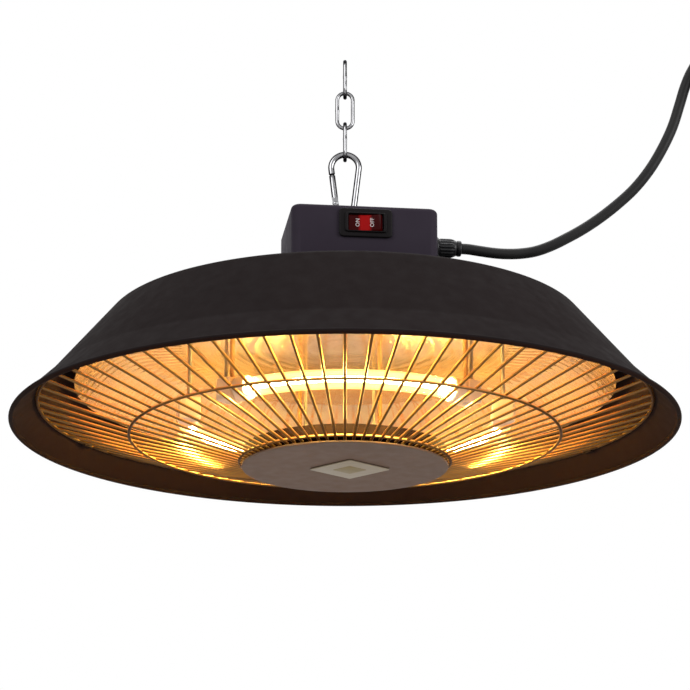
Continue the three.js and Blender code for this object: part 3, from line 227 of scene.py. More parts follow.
def smoothRoute(points, steps):
    # A centripetal Catmull-Rom curve: each stretch is the cubic that has its ends' tangents, with
    # knots as far apart as the square roots of the points' distances
    p = np.asarray(points, float)
    p = np.vstack([2 * p[0] - p[1], p, 2 * p[-1] - p[-2]])
    a, b, c, d = p[:-3], p[1:-2], p[2:-1], p[3:]
    knot = lambda u, v: np.sqrt(np.linalg.norm(v - u, axis=1, keepdims=True))
    k0, k1, k2 = knot(a, b), knot(b, c), knot(c, d)
    m1 = k1 * ((b - a) / k0 - (c - a) / (k0 + k1) + (c - b) / k1)
    m2 = k1 * ((c - b) / k1 - (d - b) / (k1 + k2) + (d - c) / k2)
    t = (np.arange(steps) / steps)[None, :, None]
    b, c, m1, m2 = (x[:, None] for x in (b, c, m1, m2))
    curve = ((2 * t ** 3 - 3 * t ** 2 + 1) * b + (t ** 3 - 2 * t ** 2 + t) * m1
             + (3 * t ** 2 - 2 * t ** 3) * c + (t ** 3 - t ** 2) * m2)
    return np.vstack([curve.reshape(-1, 3), p[-2:-1]])


def arc(centre, radius, start, end, steps, plane="xz"):
    # (cx + r cos a, cz + r sin a) in an upright plane, angles from its level axis towards +Z
    angle = np.linspace(start, end, steps + 1)
    level, height = centre[0] + radius * np.cos(angle), centre[1] + radius * np.sin(angle)
    zero = 0 * angle
    columns = [level, zero, height] if plane == "xz" else [zero, level, height]
    return np.stack(columns, axis=1)


def placed(shells, matrix=None, shift=(0, 0, 0)):
    # Turns each point by a 3 by 3 matrix, then shifts it
    matrix = np.eye(3) if matrix is None else np.asarray(matrix, float)
    return [(points @ matrix.T + np.asarray(shift, float), faces) for points, faces in shells]


def turnZ(degrees):
    c, s = math.cos(math.radians(degrees)), math.sin(math.radians(degrees))
    return np.array([[c, -s, 0], [s, c, 0], [0, 0, 1]])


alongX = np.array([[0, 0, 1], [0, 1, 0], [-1, 0, 0]], float)    # Z becomes X
alongY = np.array([[1, 0, 0], [0, 0, 1], [0, -1, 0]], float)    # Z becomes Y
facingFront = np.array([[1, 0, 0], [0, 0, -1], [0, 1, 0]], float)    # Y becomes Z, Z becomes -Y


def finishPiece(name, shells, body, replaced, material, sharpAngle=38):
    # Joins the shells in one mesh in metres, closes seams and poles, and turns faces outwards
    points, faces, count = [], [], 0
    for shellPoints, shellFaces in shells:
        points.append(shellPoints)
        faces += [[corner + count for corner in face] for face in shellFaces]
        count += len(shellPoints)
    place = np.concatenate(points) * mm + np.array([0, 0, rimPlane])
    mesh = bpy.data.meshes.new(name)
    mesh.from_pydata(place.tolist(), [], faces)
    work = bmesh.new()
    work.from_mesh(mesh)
    bmesh.ops.remove_doubles(work, verts=work.verts, dist=1e-7)
    bmesh.ops.recalc_face_normals(work, faces=work.faces)
    work.to_mesh(mesh)
    work.free()
    mesh.shade_smooth()
    mesh.set_sharp_from_angle(angle=math.radians(sharpAngle))
    piece = bpy.data.objects.new(name, mesh)
    bpy.context.scene.collection.objects.link(piece)
    mesh.materials.append(material)
    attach(piece, body)
    if replaced:
        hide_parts(*replaced)
    return piece


# Finishes, from noise on the pieces' own coordinates

def newFinish(name):
    material = bpy.data.materials.new(name)
    material.use_nodes = True
    tree = material.node_tree
    return material, tree, tree.nodes["Principled BSDF"]


def objectPlace(tree, stretch=(1, 1, 1)):
    place = tree.nodes.new("ShaderNodeTexCoord")
    mapping = tree.nodes.new("ShaderNodeMapping")
    mapping.inputs["Scale"].default_value = stretch
    tree.links.new(place.outputs["Object"], mapping.inputs["Vector"])
    return mapping.outputs["Vector"]


def noise(tree, place, scale, detail=4.0):
    node = tree.nodes.new("ShaderNodeTexNoise")
    node.inputs["Scale"].default_value = scale
    node.inputs["Detail"].default_value = detail
    tree.links.new(place, node.inputs["Vector"])
    return node.outputs["Fac"]


def spread(tree, value, low, high, fromLow=0.3, fromHigh=0.7):
    # Stretches a range to another one. Most of a noise lies between 0.3 and 0.7
    node = tree.nodes.new("ShaderNodeMapRange")
    numbers = {"From Min": fromLow, "From Max": fromHigh, "To Min": low, "To Max": high}
    for socket, number in numbers.items():
        node.inputs[socket].default_value = number
    tree.links.new(value, node.inputs["Value"])
    return node.outputs["Result"]


def mathNode(tree, operation, *values):
    node = tree.nodes.new("ShaderNodeMath")
    node.operation = operation
    for socket, value in zip(node.inputs, values):
        if isinstance(value, bpy.types.NodeSocket):
            tree.links.new(value, socket)
        else:
            socket.default_value = value
    return node.outputs[0]


def blendColours(tree, factor, first, second):
    node = tree.nodes.new("ShaderNodeMix")
    node.data_type = "RGBA"
    for socket, colour in ((6, first), (7, second)):
        if isinstance(colour, bpy.types.NodeSocket):
            tree.links.new(colour, node.inputs[socket])
        else:
            node.inputs[socket].default_value = (*colour, 1)
    tree.links.new(factor, node.inputs["Factor"])
    return node.outputs[2]


def addBump(tree, height, distance, under=None, strength=1.0):
    # One layer of bump, over the layer below it where there is one
    node = tree.nodes.new("ShaderNodeBump")
    node.inputs["Distance"].default_value = distance
    node.inputs["Strength"].default_value = strength
    tree.links.new(height, node.inputs["Height"])
    if under is not None:
        tree.links.new(under, node.inputs["Normal"])
    return node.outputs["Normal"]


def paintedReflectionBands(tree, colour, paintedBands):
    # Painted reflection: bright and dark streaks of a polished bar painted into its colour, by how far its
    # face turns away from the view. Each band is (share of the turn, brightness)
    facing = tree.nodes.new("ShaderNodeLayerWeight")
    ramp = tree.nodes.new("ShaderNodeValToRGB")
    for i, (place, bright) in enumerate(paintedBands):
        stop = ramp.color_ramp.elements[i] if i < 2 else ramp.color_ramp.elements.new(place)
        stop.position = place
        stop.color = (bright, bright, bright, 1)
    tree.links.new(facing.outputs["Facing"], ramp.inputs["Fac"])
    product = tree.nodes.new("ShaderNodeMix")
    product.data_type, product.blend_type = "RGBA", "MULTIPLY"
    product.inputs["Factor"].default_value = 1
    tree.links.new(colour, product.inputs[6])
    tree.links.new(ramp.outputs["Color"], product.inputs[7])
    return product.outputs[2]


def mottledFinish(name, s):
    # Two near colours mixed by a slow noise, roughness from a finer one, and a grain as bump
    material, tree, shader = newFinish(name)
    place = objectPlace(tree, s.get("stretch", (1, 1, 1)))
    slow = noise(tree, place, s.get("mottle", 40))
    fine = noise(tree, place, s.get("grain", 900), 3)
    colour = blendColours(tree, spread(tree, slow, 0, 1), s["colour"], s["second"])
    if "paintedLampLight" in s:    # painted lamp light: the side towards the lamps is painted warmer and lighter
        split = tree.nodes.new("ShaderNodeSeparateXYZ")
        tree.links.new(tree.nodes.new("ShaderNodeTexCoord").outputs["Normal"], split.inputs[0])
        warm, start, full = s["paintedLampLight"]
        colour = blendColours(tree, spread(tree, split.outputs[2], 0, 1, start, full), colour, warm)
    # painted reflection: light and dark streaks painted into a polished metal's colour
    if "paintedBands" in s:
        colour = paintedReflectionBands(tree, colour, s["paintedBands"])
    tree.links.new(colour, shader.inputs["Base Color"])
    worn = noise(tree, place, 120)
    tree.links.new(spread(tree, worn, *s["roughness"]), shader.inputs["Roughness"])
    shader.inputs["Metallic"].default_value = s.get("metallic", 0)
    if "specular" in s:
        shader.inputs["Specular IOR Level"].default_value = s["specular"]
    if "edge" in s:
        rim = s["edge"]    # how bright a metal is at its rim
        shader.inputs["Specular Tint"].default_value = (rim, rim, rim, 1)
    grain = addBump(tree, fine, s.get("depth", 2e-5), strength=0.5)
    tree.links.new(grain, shader.inputs["Normal"])
    return material


finishes = {
    "shadeCoat": {"colour": (0.0095, 0.0068, 0.0068), "second": (0.0125, 0.009, 0.009),
                  "roughness": (0.6, 0.72), "grain": 1500, "depth": 3e-5, "specular": 0.015, "mottle": 7,
                  # painted lamp light: the shade's faces that look down towards the lamps are painted warm
                  # brown
                  "paintedLampLight": ((0.013, 0.0062, 0.0045), 0.1, -0.25)},
    "panCoat": {"colour": (0.0105, 0.0045, 0.004), "second": (0.014, 0.006, 0.005),
                "roughness": (0.55, 0.7), "grain": 1500, "depth": 3e-5, "specular": 0.05, "mottle": 12},
    "hubCoat": {"colour": (0.115, 0.07, 0.048), "second": (0.135, 0.083, 0.058),
                "roughness": (0.5, 0.62), "grain": 1300, "specular": 0.1, "mottle": 12},
    "badgePlate": {"colour": (0.31, 0.25, 0.175), "second": (0.27, 0.215, 0.15),
                   "roughness": (0.38, 0.5), "metallic": 0.3, "stretch": (1, 12, 1), "grain": 300,
                   "specular": 0.2},
    "badgeInlay": {"colour": (0.19, 0.14, 0.06), "second": (0.23, 0.17, 0.075),
                   "roughness": (0.45, 0.6), "metallic": 0.2, "specular": 0.2},
    "guardWire": {"colour": (0.11, 0.055, 0.02), "second": (0.15, 0.075, 0.028),
                  "roughness": (0.28, 0.38), "metallic": 0.85, "mottle": 25, "edge": 0.3,
                  # painted lamp light: the wires' faces that look up towards the lamps are painted golden
                  "paintedLampLight": ((0.82, 0.45, 0.15), -0.5, 0.25)},
    "zinc": {"colour": (0.5, 0.49, 0.48), "second": (0.38, 0.37, 0.36),
             "roughness": (0.2, 0.32), "metallic": 1, "mottle": 90, "depth": 1e-5, "edge": 0.2},
    # painted reflection: the chrome's colour carries painted bright and dark streaks, by how far each face
    # turns
    "chrome": {"colour": (0.4, 0.4, 0.41), "second": (0.3, 0.3, 0.31),
               "roughness": (0.07, 0.14), "metallic": 1, "mottle": 140, "depth": 5e-6, "edge": 0.0,
               "paintedBands": ((0, 0.95), (0.18, 0.75), (0.3, 0.08), (0.52, 0.06), (0.64, 0.75), (0.8, 0.25),
                         (1, 0.02))},
    "ceramic": {"colour": (0.72, 0.62, 0.48), "second": (0.62, 0.5, 0.36),
                "roughness": (0.55, 0.75), "grain": 1800, "depth": 4e-5},
    "boxPlastic": {"colour": (0.026, 0.02, 0.029), "second": (0.032, 0.026, 0.036),
                   "roughness": (0.5, 0.6), "grain": 2200, "depth": 2e-5, "mottle": 18, "specular": 0.03},
    "blackPlastic": {"colour": (0.008, 0.008, 0.009), "second": (0.012, 0.011, 0.012),
                     "roughness": (0.24, 0.36), "grain": 2000, "specular": 0.25},
    "blackRubber": {"colour": (0.01, 0.0095, 0.0095), "second": (0.015, 0.0145, 0.0145),
                    "roughness": (0.4, 0.52), "grain": 1600, "depth": 3e-5, "specular": 0.15},
    "switchPlastic": {"colour": (0.007, 0.006, 0.0065), "second": (0.01, 0.0085, 0.009),
                      "roughness": (0.3, 0.42), "grain": 2000, "specular": 0.06},
    "leadSleeve": {"colour": (0.3, 0.27, 0.22), "second": (0.2, 0.17, 0.13),
                   "roughness": (0.7, 0.85), "grain": 2600, "depth": 1e-4},
    "liveSleeve": {"colour": (0.15, 0.06, 0.025), "second": (0.18, 0.075, 0.03), "roughness": (0.35, 0.5)},
    "neutralSleeve": {"colour": (0.03, 0.09, 0.38), "second": (0.04, 0.11, 0.42),
                      "roughness": (0.35, 0.5)},
    "earthSleeve": {"colour": (0.2, 0.33, 0.025), "second": (0.6, 0.5, 0.03), "roughness": (0.35, 0.5)},
    "brass": {"colour": (0.62, 0.5, 0.28), "second": (0.55, 0.43, 0.22),
              "roughness": (0.2, 0.34), "metallic": 1, "mottle": 80},
    "lettering": {"colour": (0.42, 0.38, 0.37), "second": (0.36, 0.32, 0.32), "roughness": (0.5, 0.6)},
}
made = {name: mottledFinish(name, s) for name, s in finishes.items()}


reflectorFinish = {
    "warm": (0.56, 0.31, 0.15), "pale": (0.64, 0.4, 0.19), "roughness": (0.1, 0.19), "ripples": 240,
    "rippleDepth": 1.5e-5, "dents": 14, "dentDepth": 5e-4, "metallic": 0.85, "clouds": 30,
    "flutes": 112, "fluteDepth": 1.6e-4, "fluteFrom": (0.104, 0.116),
}


def fluteHeight(tree, split, flat, s):
    # Flutes across the curved edge: (1 + cos(flutes a)) / 2 for the angle a round the axis, times
    # a share that rises from 0 to 1 over the given radii
    angle = mathNode(tree, "ARCTAN2", split.outputs[1], split.outputs[0])
    wave = mathNode(tree, "COSINE", mathNode(tree, "MULTIPLY", angle, s["flutes"]))
    share = spread(tree, flat.outputs["Value"], 0, 1, *s["fluteFrom"])
    return mathNode(tree, "MULTIPLY", mathNode(tree, "MULTIPLY_ADD", wave, 0.5, 0.5), share)


def polishedCopper(s):
    # Spun metal: rings round the axis in the roughness and bump, over the curved edge's flutes and
    # a few slow dents
    material, tree, shader = newFinish("polishedCopper")
    place = objectPlace(tree)
    split = tree.nodes.new("ShaderNodeSeparateXYZ")
    join = tree.nodes.new("ShaderNodeCombineXYZ")
    flat = tree.nodes.new("ShaderNodeVectorMath")
    flat.operation = "LENGTH"
    tree.links.new(place, split.inputs[0])
    tree.links.new(split.outputs[0], join.inputs[0])
    tree.links.new(split.outputs[1], join.inputs[1])
    tree.links.new(join.outputs[0], flat.inputs[0])
    rings = tree.nodes.new("ShaderNodeTexNoise")
    rings.noise_dimensions = "1D"
    rings.inputs["Scale"].default_value = s["ripples"]
    tree.links.new(flat.outputs["Value"], rings.inputs["W"])
    clouds = spread(tree, noise(tree, place, s["clouds"]), 0, 1)
    tree.links.new(blendColours(tree, clouds, s["warm"], s["pale"]), shader.inputs["Base Color"])
    tree.links.new(spread(tree, rings.outputs["Fac"], *s["roughness"]), shader.inputs["Roughness"])
    shader.inputs["Metallic"].default_value = s["metallic"]
    dents = addBump(tree, noise(tree, place, s["dents"], 2), s["dentDepth"])
    flutes = addBump(tree, fluteHeight(tree, split, flat, s), s["fluteDepth"], dents)
    ripples = addBump(tree, rings.outputs["Fac"], s["rippleDepth"], flutes)
    tree.links.new(ripples, shader.inputs["Normal"])
    return material


glow = {
    "filamentColour": (1.0, 0.74, 0.2), "filamentStrength": 850, "filamentMetal": (0.3, 0.2, 0.1),
    "filamentMetallic": 0.5, "filamentNoise": 200, "filamentRoughness": (0.4, 0.6),
    "glassRoughness": 0.06, "glassLeast": 0.05,
    "glassColour": (1.0, 0.6, 0.22), "glassStrength": 2.2, "glassAlpha": 0.3,
    "coldEnd": (59, 68),    # where the tube's glow fades out, in millimetres from its middle
    "coldGlass": (0.5, 0.45, 0.4), "hotGlass": (0.04, 0.025, 0.012),
    # painted lamp light: the rocker is painted red in its middle and near black at its ends, where its lamp
    # shines less
    "rockerColour": (0.12, 0.001, 0.002), "rockerPaintedDarkEnds": (0.012, 0.0008, 0.001),
    "rockerGlow": (1, 0.02, 0.015), "rockerStrength": 0.16, "rockerFade": (2.4, 4.6),
    "rockerRoughness": 0.16, "rockerLeast": 0.02, "rockerSpecular": 0.05,
}


def glowingFilament(s):
    material, tree, shader = newFinish("glowingFilament")
    place = objectPlace(tree)
    shader.inputs["Base Color"].default_value = (*s["filamentMetal"], 1)
    shader.inputs["Metallic"].default_value = s["filamentMetallic"]
    worn = spread(tree, noise(tree, place, s["filamentNoise"]), *s["filamentRoughness"])
    tree.links.new(worn, shader.inputs["Roughness"])
    shader.inputs["Emission Color"].default_value = (*s["filamentColour"], 1)
    shader.inputs["Emission Strength"].default_value = s["filamentStrength"]
    return material


def litQuartz(s):
    # Clear tube, lit from within: its glow fades towards its ends by the tube's own attribute
    material, tree, shader = newFinish("litQuartz")
    along = tree.nodes.new("ShaderNodeAttribute")
    along.attribute_name = "fromMiddle"
    warmth = spread(tree, along.outputs["Fac"], 1, 0, *s["coldEnd"])
    tree.links.new(blendColours(tree, warmth, s["coldGlass"], s["hotGlass"]), shader.inputs["Base Color"])
    shader.inputs["Roughness"].default_value = s["glassRoughness"]
    shader.inputs["Emission Color"].default_value = (*s["glassColour"], 1)
    shine = spread(tree, warmth, s["glassLeast"], s["glassStrength"], 0, 1)
    tree.links.new(shine, shader.inputs["Emission Strength"])
    shader.inputs["Alpha"].default_value = s["glassAlpha"]
    return material


def litRocker(s):
    # Clear red plastic over a small lamp: it glows bright in the middle of its length, and its colour is
    # painted red there and near black at both ends, as painted lamp light
    material, tree, shader = newFinish("litRocker")
    along = tree.nodes.new("ShaderNodeAttribute")
    along.attribute_name = "fromMiddle"
    middle = spread(tree, along.outputs["Fac"], 1, 0, *s["rockerFade"])
    # painted lamp light in the base colour, besides the lamp's own glow
    red = blendColours(tree, middle, s["rockerPaintedDarkEnds"], s["rockerColour"])
    tree.links.new(red, shader.inputs["Base Color"])
    shader.inputs["Roughness"].default_value = s["rockerRoughness"]
    shader.inputs["Emission Color"].default_value = (*s["rockerGlow"], 1)
    shine = spread(tree, middle, s["rockerLeast"], s["rockerStrength"], 0, 1)
    tree.links.new(shine, shader.inputs["Emission Strength"])
    shader.inputs["Specular IOR Level"].default_value = s["rockerSpecular"]
    return material


def markDistance(piece, distance):
    # Stores each point's distance from the middle of a piece, in millimetres
    co = np.empty(len(piece.data.vertices) * 3, np.float32)
    piece.data.vertices.foreach_get("co", co)
    attribute = piece.data.attributes.new("fromMiddle", "FLOAT", "POINT")
    attribute.data.foreach_set("value", distance(co.reshape(-1, 3)).astype(np.float32))


made["polishedCopper"] = polishedCopper(reflectorFinish)
made["glowingFilament"] = glowingFilament(glow)
made["litQuartz"] = litQuartz(glow)
made["litRocker"] = litRocker(glow)
print("finishes made")


# The box's own frame: turned a little on the deck, -Y to the front

box = {
    "width": 94, "depth": 74, "low": 72.6, "high": 138, "turn": 7, "shift": 8.5, "wall": 2.5,
    "corner": 6, "topEdge": 3, "steps": 8, "foot": 0.4, "groove": 0.35,
    "grooveHeights": (1.6, 1.9, 2.5, 2.8), "cornerShare": 0.9, "topLess": 16, "topCorner": 3,
    "edgePoints": 9, "sharpAngle": 50,
}


def onBox(shells):
    return placed(shells, turnZ(box["turn"]), (box["shift"], 0, 0))


# Power cord: out of the gland, to the right, back and up, then the coil and the plug

cord = {
    "length": 1800, "diameter": 7, "sides": 20, "exit": (67.7, 0, 123.6),
    "route": [
        (0, 0, 0), (4.3, 0.54, -0.1), (12.3, 1.45, -1.1), (20.3, 2.35, -2), (28.3, 3.15, -2.4),
        (38.3, 3.75, -2), (48.3, 3.75, -0.4), (58.3, 3.75, 3.2), (69.3, 3.75, 8.8), (80.3, 3.75, 15.2),
        (92.3, 3.75, 23.6), (104.3, 3.75, 33.5), (114.3, 3.75, 43.2), (124.3, 3.75, 55.9),
        (133.3, 3.75, 71), (140.3, 3.75, 85.9), (145.3, 3.75, 100.8), (149.1, 3.75, 112.9),
        (152.9, 3.75, 122.4), (157.9, 3.75, 131.6), (162.7, 3.75, 139.9),
    ],
    "tail": [(0, 0, 0), (-4, 0, -6.93), (-7.4, 0, -14.2), (-9.6, 0, -22.6), (-10.4, 0, -32),
             (-10.4, 0, -50), (-10.4, 0, -86)],
    "gap": 0.3, "turns": 5.5, "startTurn": 150, "pitch": 7.6, "climb": 0.5, "stepsPerTurn": 72,
    "routeSteps": 12,
}


def routeLength(points):
    # Sum of the distances between neighbours
    return np.linalg.norm(np.diff(points, axis=0), axis=1).sum()


def coilPoints(s, start, straight):
    # Turn t of the coil: radius inner + pitch |t - half|, angle start - 360 t, and the layer moves
    # forward by one pitch over a smooth step in the middle of the turns
    angle = math.radians(s["startTurn"])
    middle = (s["length"] - straight - 2 * s["diameter"]) / (2 * math.pi * s["turns"])
    inner, outer = middle - s["pitch"] * s["turns"] / 4, middle + s["pitch"] * s["turns"] / 4
    centre = start - outer * np.array([math.cos(angle), 0, math.sin(angle)])
    turn = np.linspace(0, s["turns"], round(s["turns"] * s["stepsPerTurn"]) + 1)
    past = turn - s["turns"] / 2
    radius = inner + s["pitch"] * np.abs(past)
    share = np.clip(past / s["climb"] + 0.5, 0, 1)
    layer = s["pitch"] * share ** 2 * (3 - 2 * share)
    a = angle - 2 * math.pi * turn
    points = np.stack([radius * np.cos(a), -layer, radius * np.sin(a)], axis=1)
    return centre + points, centre


def cordPath(s):
    start = turnZ(box["turn"]) @ np.array(s["exit"]) + np.array([box["shift"], 0, 0])
    lead = start + smoothRoute(s["route"], s["routeSteps"])
    tail = smoothRoute(s["tail"], s["routeSteps"])
    angle = math.radians(s["startTurn"])
    wayIn = np.array([math.sin(angle), 0, -math.cos(angle)])
    straight = routeLength(lead) + routeLength(tail)
    turns, centre = coilPoints(s, lead[-1] + wayIn * (s["gap"] + s["diameter"]), straight)
    endAngle = angle - 2 * math.pi * s["turns"]
    wayOut = np.array([math.sin(endAngle), 0, -math.cos(endAngle)])
    tailStart = turns[-1] + wayOut * (s["diameter"] + s["gap"])
    return np.vstack([lead, turns, tailStart + tail]), turns, centre


cordLine, coilTurns, coilCentre = cordPath(cord)


def powerCord(s):
    # A round section carried along the whole route
    return sweep(cordLine, circle(s["diameter"] / 2, s["sides"]), (0, 1, 0))


cordPiece = finishPiece("power_cord", powerCord(cord), "heater",
                        ["cord_lead", "cord_coil", "cord_tail"], made["blackRubber"])
print("cord made")

tie = {"sheet": 1.6, "width": 12, "eyelet": 4, "corner": 2.4, "clearance": 0.3, "bevel": 0.4, "sides": 32}


def coilTie(s):
    # A strap round the turns at the top of the coil, with the eyelet that it hangs by
    near = (coilTurns[:, 2] > coilCentre[2]) & (np.abs(coilTurns[:, 0] - coilCentre[0]) < s["width"])
    reach = cord["diameter"] / 2 + s["clearance"]
    low, high = coilTurns[near, 2].min() - reach, coilTurns[near, 2].max() + reach
    half = cord["pitch"] / 2 + reach
    middle = coilCentre[1] - cord["pitch"] / 2
    outer = roundedRectangle(2 * (half + s["sheet"]), high - low + 2 * s["sheet"], s["corner"] + s["sheet"])
    inner = roundedRectangle(2 * half, high - low, s["corner"])
    ring = circle(s["eyelet"] + s["sheet"], s["sides"])
    strap = plate(outer, -s["width"] / 2, s["width"] / 2, s["bevel"], hole=inner)
    eyelet = plate(ring, -s["width"] / 2, s["width"] / 2, s["bevel"], hole=circle(s["eyelet"], s["sides"]))
    strap = placed(strap, shift=(0, (low + high) / 2, 0))
    eyelet = placed(eyelet, shift=(0, high + s["sheet"] + s["eyelet"], 0))
    upright = np.array([[0, 0, 1], [1, 0, 0], [0, 1, 0]], float)
    return placed(strap + eyelet, upright, (coilCentre[0], middle, 0))


tiePiece = finishPiece("coil_strap", coilTie(tie), "heater", ["coil_tie"],
                       made["blackRubber"])

plug = {
    "relief": 26, "reliefStart": 3.8, "reliefRadius": 5.5, "ridges": 8, "ridgeDepth": 0.45,
    "ridgesEnd": 0.94, "grip": 30, "radius": 18.5, "neck": 9, "flare": 1.25, "face": 6, "edge": 1.2,
    "sides": 72, "gripFlutes": 18, "fluteDepth": 0.5,
    "pinRadius": 2.4, "pinLength": 19, "pinSpacing": 19, "pinSides": 28,
    "insertDepth": 8, "insertWidth": 8, "insertCorner": 2, "insertBevel": 0.4, "proud": 0.2,
    "reliefPoints": 49, "flarePoints": 17, "domeSteps": 8,
}
plugTop = cordLine[-1] - (0, 0, cord["gap"])


def plugBody(s):
    # A turned body: ridged relief, flared grip with flutes round its neck, and a flat face
    face = -s["relief"] - s["grip"]
    along = np.linspace(0, 1, s["reliefPoints"])
    relief = s["reliefStart"] + (s["reliefRadius"] - s["reliefStart"]) * along
    relief -= s["ridgeDepth"] * (np.sin(along * np.pi * s["ridges"]) ** 2) * (along < s["ridgesEnd"])
    rows = [(0, 0)] + list(zip(relief, -s["relief"] * along))
    flare = np.linspace(0, 1, s["flarePoints"])
    span = s["grip"] - s["face"]
    swell = s["neck"] + (s["radius"] - s["neck"]) * flare ** s["flare"]
    rows += list(zip(swell, -s["relief"] - span * flare))
    edge = roundedLine([(s["radius"], face + s["face"]), (s["radius"], face), (0, face)], [s["edge"]])
    rows += [tuple(p) for p in edge]
    profile = np.array(rows)
    turn = 2 * np.pi * np.arange(s["sides"]) / s["sides"]
    radius, height = profile[:, :1], profile[:, 1:]
    part = np.clip((-s["relief"] - height) / span, 0, 1)
    flute = s["fluteDepth"] * np.sin(np.pi * part) * (0.5 - 0.5 * np.cos(s["gripFlutes"] * turn))
    radius = radius - flute
    grid = np.stack([radius * np.cos(turn), radius * np.sin(turn), height + 0 * turn], axis=-1)
    return placed(loft(grid), shift=plugTop)


def plugPins(s):
    # Two round pins with domed ends, on a bridge that shows in the plug's face
    face = -s["relief"] - s["grip"]
    tip = face - s["pinLength"] + s["pinRadius"]
    dome = arc((0, tip), s["pinRadius"], -math.pi / 2, 0, s["domeSteps"])[:, (0, 2)]
    root = face + s["insertDepth"] / 2
    pin = lathe([*dome, (s["pinRadius"], root), (0, root)], s["pinSides"])
    outline = roundedRectangle(s["pinSpacing"] + s["insertWidth"], s["insertWidth"], s["insertCorner"])
    bridge = plate(outline, face, face + s["insertDepth"], s["insertBevel"])
    pins = [shell for side in (-1, 1) for shell in placed(pin, shift=(side * s["pinSpacing"] / 2, 0, 0))]
    return placed(pins + bridge, shift=plugTop + (0, 0, -s["proud"]))


plugPiece = finishPiece("plug_moulding", plugBody(plug), "heater", ["plug_body"],
                        made["blackRubber"])
pinsPiece = finishPiece("plug_pins", plugPins(plug), "heater", ["plug_insert"], made["brass"])
print("tie and plug made")


# Shade: one spun sheet with a rolled rim

shade = {
    "deck": (149, 70.2), "neck": (190.6, 21), "rim": (210.8, 1.7), "bead": 1.7, "wall": 1.2,
    "deckBend": 8, "neckBend": 30, "bendSteps": 10, "sides": 288, "beadSteps": 20, "sharpAngle": 60,
}


def shadeShell(s):
    # Both faces of the wall, half its thickness to each side of one line, and the bead's circle
    line = [(0, s["deck"][1]), s["deck"], s["neck"], s["rim"]]
    middle = roundedLine(line, [s["deckBend"], s["neckBend"]], s["bendSteps"])
    step = np.gradient(middle, axis=0)
    step /= np.linalg.norm(step, axis=1, keepdims=True)
    normal = np.stack([-step[:, 1], step[:, 0]], axis=1) * s["wall"] / 2
    outer, inner = (middle + normal)[:-1], (middle - normal)[:-1]
    up = np.array(line[2]) - np.array(line[3])
    upTheLip = math.atan2(up[1], up[0])
    opening = math.asin(s["wall"] / 2 / s["bead"])
    turn = np.linspace(upTheLip - opening, upTheLip + opening - 2 * math.pi, s["beadSteps"] + 1)
    bead = np.array(s["rim"]) + s["bead"] * np.stack([np.cos(turn), np.sin(turn)], axis=1)
    return lathe(np.vstack([outer, bead, inner[::-1]]), s["sides"])


finishPiece("shade_shell", shadeShell(shade), "heater", ["shade"], made["shadeCoat"],
            shade["sharpAngle"])


# Lamps' places: three bent tubes on one circle above the guard, each straight at both ends

lamp = {
    "height": 4.97, "circle": 100, "bend": 34, "end": 12, "radius": 6, "wall": 1.2, "glassSides": 40,
    "glassRings": 48, "glassEase": 0.4, "coil": 1.5, "wire": 0.36, "wireSides": 6, "pitch": 1.7,
    "coilEnd": 3, "coilSteps": 12, "pin": 0.7, "pinEnd": 17, "pinSides": 12, "gap": 0.3,
    "capStart": 6, "capEdge": 0.8, "capInnerEdge": 0.2, "capSides": 40, "collar": 7.8, "collarEnd": 14,
    "neck": 4.8, "bore": 1.6, "blockStart": 15.8, "blockEnd": 25.8, "block": 14, "blockCorner": 1,
    "blockBevel": 0.7, "overlap": 0.5, "hanger": 1.5, "hangerPast": 18.8, "hangerLow": -1.2,
    "pinSunk": 1, "slugWider": 0.05, "slugSunk": 0.5, "slugPast": 1.5, "capSteps": 4, "blockSteps": 8,
}
lampTurns = {"left": 152, "middle": -88, "right": 32}
lampReach = lamp["circle"] * math.radians(lamp["bend"])


def alongLamp(s, along, out=0.0, up=0.0):
    # (R cos a - p sin a, R sin a + p cos a, height): a is the angle in the bend, and p is how far
    # the point lies straight on past the bend. Out widens R and up raises the height
    inBend = np.clip(along, -lampReach, lampReach)
    a, past, radius = inBend / s["circle"], along - inBend, s["circle"] + out
    return np.stack([radius * np.cos(a) - past * np.sin(a), radius * np.sin(a) + past * np.cos(a),
                     s["height"] + up + 0 * (a + radius)], axis=-1)


def atCap(name, end, past):
    # A point on a lamp's middle line, so far past its bend at end 1 or -1
    return turnZ(lampTurns[name]) @ alongLamp(lamp, np.array(end * (lampReach + past)))


# Reflector: flat polished plate with a curved edge, on three studs, with rods for the lamps' caps

reflector = {
    "height": 54, "sheet": 0.8, "flat": 130, "flatRings": 11, "edge": 172, "drop": 28, "sides": 240,
    "steps": 26, "studCircle": 112, "studTurns": (90, 210, 330), "shoulder": 4, "shoulderTop": 69.3,
    "shoulderEdge": 0.3, "shoulderSides": 28, "sunk": 0.4, "stud": 2, "studTop": 75.3, "thread": 0.7,
    "hangerEdges": (0.4, 0.2), "hangerSides": 20, "studSunk": 1, "edgeSteps": 3,
}


def threadedRod(radius, low, high, pitch, sides=20, depth=0.14):
    # Rings whose radius swings once for each pitch, as a thread looks from a step away
    count = max(int((high - low) / pitch * 4), 4)
    height = np.linspace(low, high, count + 1)
    swing = radius - depth * (0.5 + 0.5 * np.cos(2 * np.pi * (height - low) / pitch))
    profile = np.column_stack([swing, height])
    return lathe(np.vstack([(0, low), profile, (0, high)]), sides)


